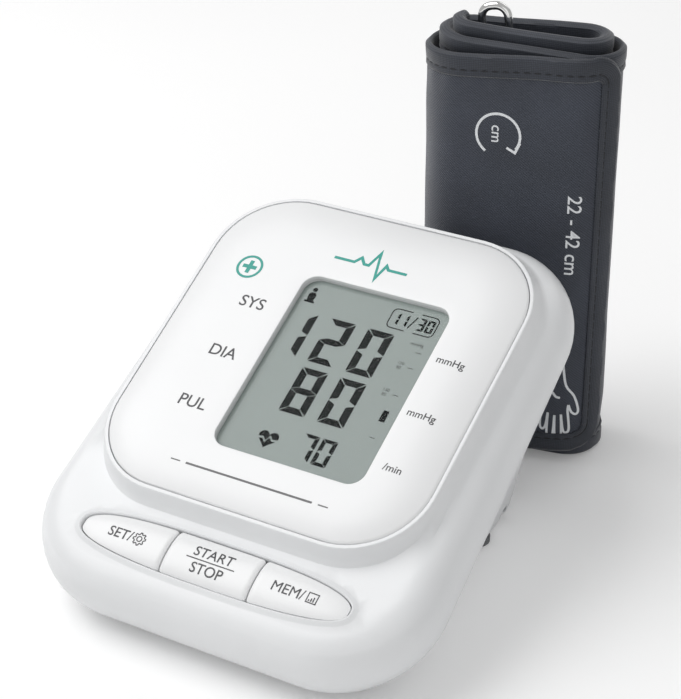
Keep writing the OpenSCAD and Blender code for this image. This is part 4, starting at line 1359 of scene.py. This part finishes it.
    def inner_layers(self, roll):
        """Hook and loop patches and the bladder, seen only from above the roll."""
        hook = woven("hook_tape", (0.014, 0.014, 0.018), 0.8, 0.0012, (0, 90), 0.5, 0.0004, 0.1)
        loop = woven("loop_tape", (0.03, 0.032, 0.042), 0.95, 0.0005, (20, 100), 0.4, 0.0003, 0.9)
        sheet = moulded("bladder_sheet", (0.10, 0.10, 0.11), 0.5, 0.05, 300, 0.00006)
        jobs = (("hook_band", "hook_tape", "hook_patch", 105, 210, 2.0, 9, hook),
                ("loop_band", "loop_tape", "loop_patch", 105, 375, 3.0, 9, loop),
                ("air_bladder", "bladder", "bladder", 480, 900, 1.45, 12, sheet))
        for name, slot, node_name, a0, a1, depth, margin, material in jobs:
            stand_for = "cuff_bladder" if node_name == "bladder" else node_name
            span = [p[0] for p in roll.track if a0 <= p[3] <= a1]
            along, across = int((span[-1] - span[0]) / 3), 16
            lengths = steps(span[0], span[-1], along)

            def spot(i, j, lengths=lengths, margin=margin, across=across):
                s = lengths[j]
                return s, blend(roll.bottom(s) + margin, roll.top(s) - margin, i / across)

            def place(i, j, spot=spot, depth=depth):
                s, z = spot(i, j)
                return roll.place(s, z, depth + 0.3)

            bm = cloth_sheet(place, spot, across, along, 0)
            self.sheet_piece(name, bm, material, slot, [stand_for], 0.6)

    def prints(self, roll, c, material):
        """Plain marks on the outer cloth: a circular arrow, the size range and an open hand."""
        marks = bmesh.new()
        x0, z0, r = -4.5, 115.0, 7.0
        arc = [math.radians(d) for d in steps(-35, 235, 40)]
        add(marks, line_solid([(x0 + r * math.cos(a), z0 + r * math.sin(a)) for a in arc], 0.8, 0, 1))
        tip = Vector((x0 + r * math.cos(arc[0]), z0 + r * math.sin(arc[0])))
        head = [tip + Vector((-2.9, 0.2)), tip + Vector((-0.2, -1.2)), tip + Vector((1.3, 2.2))]
        add(marks, line_solid(head, 0.8, 0, 1))
        add(marks, lettering("cm", 3.4, x0 - 0.4, z0 + 0.3, 0, 1, 0.004, -math.pi / 2))
        add(marks, lettering("22 - 42 cm", 4.4, 20.6, 84, 0, 1, 0.004, -math.pi / 2))
        for stroke in self.hand():
            path = [(11.4 + 0.86 * (x - 4), 9 + 0.86 * (z - 22)) for x, z in stroke]
            add(marks, line_solid(smooth_path(path), 0.8, 0, 1))
        origin = next(p[0] for p in roll.track if p[3] == 90) + c.flat
        for v in marks.verts:
            s, z = origin - v.co.x, v.co.y
            v.co = roll.place(s, z, 0.45 - self.bulge(roll, c, s, z) - 0.3 * v.co.z)
        finish("cuff_marks", solid_mesh(marks, "marks", UPRIGHT), "cuff", material, "cuff_nylon")

    def hand(self):
        """Strokes of a plain open hand that points down."""
        return [
            [(4.0, 58.0), (5.6, 50.0), (7.4, 45.0)],
            [(13.4, 60.0), (14.2, 52.0), (15.4, 46.0), (18.6, 41.5), (20.4, 35.6), (19.6, 33.6),
             (17.8, 34.6), (16.6, 37.6)],
            [(7.4, 45.0), (6.4, 36.0), (5.8, 28.0), (6.6, 25.6), (8.0, 27.2), (8.8, 33.4)],
            [(8.8, 33.4), (8.6, 24.4), (9.6, 22.2), (11.0, 24.0), (11.4, 32.6)],
            [(11.4, 32.6), (11.8, 24.0), (13.2, 22.2), (14.3, 24.4), (13.9, 33.2)],
            [(13.9, 33.2), (14.9, 26.4), (16.2, 25.2), (17.2, 27.2), (16.4, 35.0), (16.6, 37.6)],
            [(10.2, 42.8), (11.6, 41.0), (13.2, 40.6)],
        ]


# ---- what is carried over from the frame ----------------------------------------------------------

class FinishParts(Operator):
    """Gives every carried-over part its finish"""
    bl_idname = "monitor.finish_parts"
    bl_label = "Inner parts"

    def execute(self, context):
        steel = metal("plated_steel", (0.66, 0.66, 0.64), 0.28, (1, 12, 1))
        wire = metal("ring_chrome", (0.86, 0.86, 0.85), 0.08, (1, 1, 6), 0.000003)
        brass = metal("brass_contacts", (0.75, 0.53, 0.22), 0.3, (8, 1, 1))
        grey = moulded("grey_plastic", (0.36, 0.37, 0.38), 0.42)
        black = moulded("black_plastic", (0.022, 0.022, 0.025), 0.4, 0.15)
        rubber = moulded("grey_rubber", (0.16, 0.165, 0.17), 0.75, 0.08, 1200, 0.00006)
        strips = moulded("pink_rubber", (0.62, 0.24, 0.32), 0.6, 0.1, 1500, 0.00003)
        tube = moulded("clear_tube", (0.62, 0.64, 0.62), 0.3, 0.05, 400, 0.00001, Transmission_Weight=0.35)
        white = bpy.data.materials["white_abs"]
        finishes = {
            steel: ["pump_motor", "pump_shaft", "valve_body", "valve_plunger", "valve_spring",
                    "battery_springs", "housing_screws", "board_screws"],
            wire: ["cuff_ring"],
            brass: ["battery_plates"],
            grey: ["pump_head", "air_manifold", "air_socket", "cuff_port"],
            black: ["board_chips", "pressure_sensor", "buzzer", "power_jack"],
            rubber: ["button_mat", "pump_cradle", "feet"],
            strips: ["contact_strips"],
            tube: ["socket_tube", "sensor_tube"],
            white: ["lcd_holder", "battery_cover"],
            circuit("solder_mask"): ["main_board"],
            cell_sleeve("cell_sleeve"): ["battery_cells"],
        }
        for material, names in finishes.items():
            for name in names:
                dress(name, material)
        return {"FINISHED"}


class BuildStage(Operator):
    """Makes the floor, the lights and the camera"""
    bl_idname = "monitor.build_stage"
    bl_label = "Stage"

    def execute(self, context):
        self.floor()
        self.lights(context)
        self.camera(context)
        context.scene.view_settings.view_transform = "Standard"
        return {"FINISHED"}

    def floor(self):
        bm = bmesh.new()
        bmesh.ops.create_grid(bm, x_segments=1, y_segments=1, size=15)
        mesh = bpy.data.meshes.new("floor")
        bm.to_mesh(mesh)
        bm.free()
        material, tree, shader = blank("pale_floor", roughness=0.9)
        place = node(tree, "ShaderNodeTexCoord").outputs["Object"]
        vary(tree, shader, (0.93, 0.93, 0.93), 0.01, grain(tree, place, 3).outputs["Fac"])
        seen = node(tree, "ShaderNodeLightPath").outputs["Is Camera Ray"]
        glow = node(tree, "ShaderNodeMapRange", [("Value", seen)], To_Min=0, To_Max=0.12)
        tree.links.new(glow.outputs["Result"], shader.inputs["Emission Strength"])
        shader.inputs["Emission Color"].default_value = (1, 1, 1, 1)
        mesh.materials.append(material)
        floor = bpy.data.objects.new("floor", mesh)
        bpy.context.scene.collection.objects.link(floor)

    def lights(self, context):
        lamps = (("key", (-0.62, -0.25, 1.05), 1.0, 9.4), ("fill", (0.9, -0.9, 0.5), 1.0, 1.4),
                 ("back", (0.2, 1.1, 0.9), 0.9, 1.8))
        target = Vector((0, 0, 0.06))
        for name, place, size, power in lamps:
            light = bpy.data.lights.new(name, "AREA")
            light.shape, light.size, light.energy = "SQUARE", size, power
            lamp = bpy.data.objects.new(name, light)
            lamp.location = place
            lamp.rotation_euler = (target - Vector(place)).to_track_quat("-Z", "Y").to_euler()
            context.scene.collection.objects.link(lamp)
        world = bpy.data.worlds.new("studio")
        world.use_nodes = True
        tree = world.node_tree
        seen = node(tree, "ShaderNodeLightPath").outputs["Is Camera Ray"]
        level = node(tree, "ShaderNodeMapRange", [("Value", seen)], To_Min=0.44, To_Max=0.93)
        tree.links.new(level.outputs["Result"], tree.nodes["Background"].inputs["Strength"])
        tree.nodes["Background"].inputs["Color"].default_value = (1, 1, 1, 1)
        context.scene.world = world

    def camera(self, context):
        """The camera looks down at the display from the right front."""
        data = bpy.data.cameras.new("camera")
        data.sensor_width = 36
        data.lens = 100.5
        data.shift_x, data.shift_y = 0.012, 0.018
        data.clip_start, data.clip_end = 0.05, 40
        azimuth, elevation, roll = map(math.radians, (30.39, 30.24, -0.78))
        turn = (Matrix.Rotation(azimuth, 4, "Z") @ Matrix.Rotation(math.pi / 2 - elevation, 4, "X")
                @ Matrix.Rotation(roll, 4, "Z"))
        aim = DECK @ Vector((8.4, -5.1, -2.3)) * MM
        camera = bpy.data.objects.new("camera", data)
        camera.matrix_world = Matrix.Translation(aim) @ turn @ Matrix.Translation((-0.0006, 0.0053, 0.5737))
        context.scene.collection.objects.link(camera)
        context.scene.camera = camera


class MonitorPanel(Panel):
    """Lists the sizes, the finishes and the pieces"""
    bl_idname = "VIEW3D_PT_monitor"
    bl_label = "Pressure monitor"
    bl_space_type = "VIEW_3D"
    bl_region_type = "UI"
    bl_category = "Monitor"

    def draw(self, context):
        column = self.layout.column()
        for group in (context.scene.housing_sizes, context.scene.button_sizes, context.scene.cuff_sizes,
                      context.scene.finishes):
            for name in group.__annotations__:
                column.prop(group, name)
        for operator in OPERATORS:
            column.operator(operator.bl_idname)


GROUPS = {"housing_sizes": HousingSizes, "button_sizes": ButtonSizes, "cuff_sizes": CuffSizes,
          "finishes": Finishes}
OPERATORS = (BuildStage, BuildHousing, BuildFaceplate, BuildDisplay, BuildButtons, BuildCuff, FinishParts)


def register():
    for item in (*GROUPS.values(), *OPERATORS, MonitorPanel):
        bpy.utils.register_class(item)
    for name, group in GROUPS.items():
        setattr(bpy.types.Scene, name, PointerProperty(type=group))


def unregister():
    for name in GROUPS:
        delattr(bpy.types.Scene, name)
    for item in reversed((*GROUPS.values(), *OPERATORS, MonitorPanel)):
        bpy.utils.unregister_class(item)


def main():
    register()
    for operator in OPERATORS:
        group, name = operator.bl_idname.split(".")
        getattr(getattr(bpy.ops, group), name)()


if __name__ == "__main__":
    main()
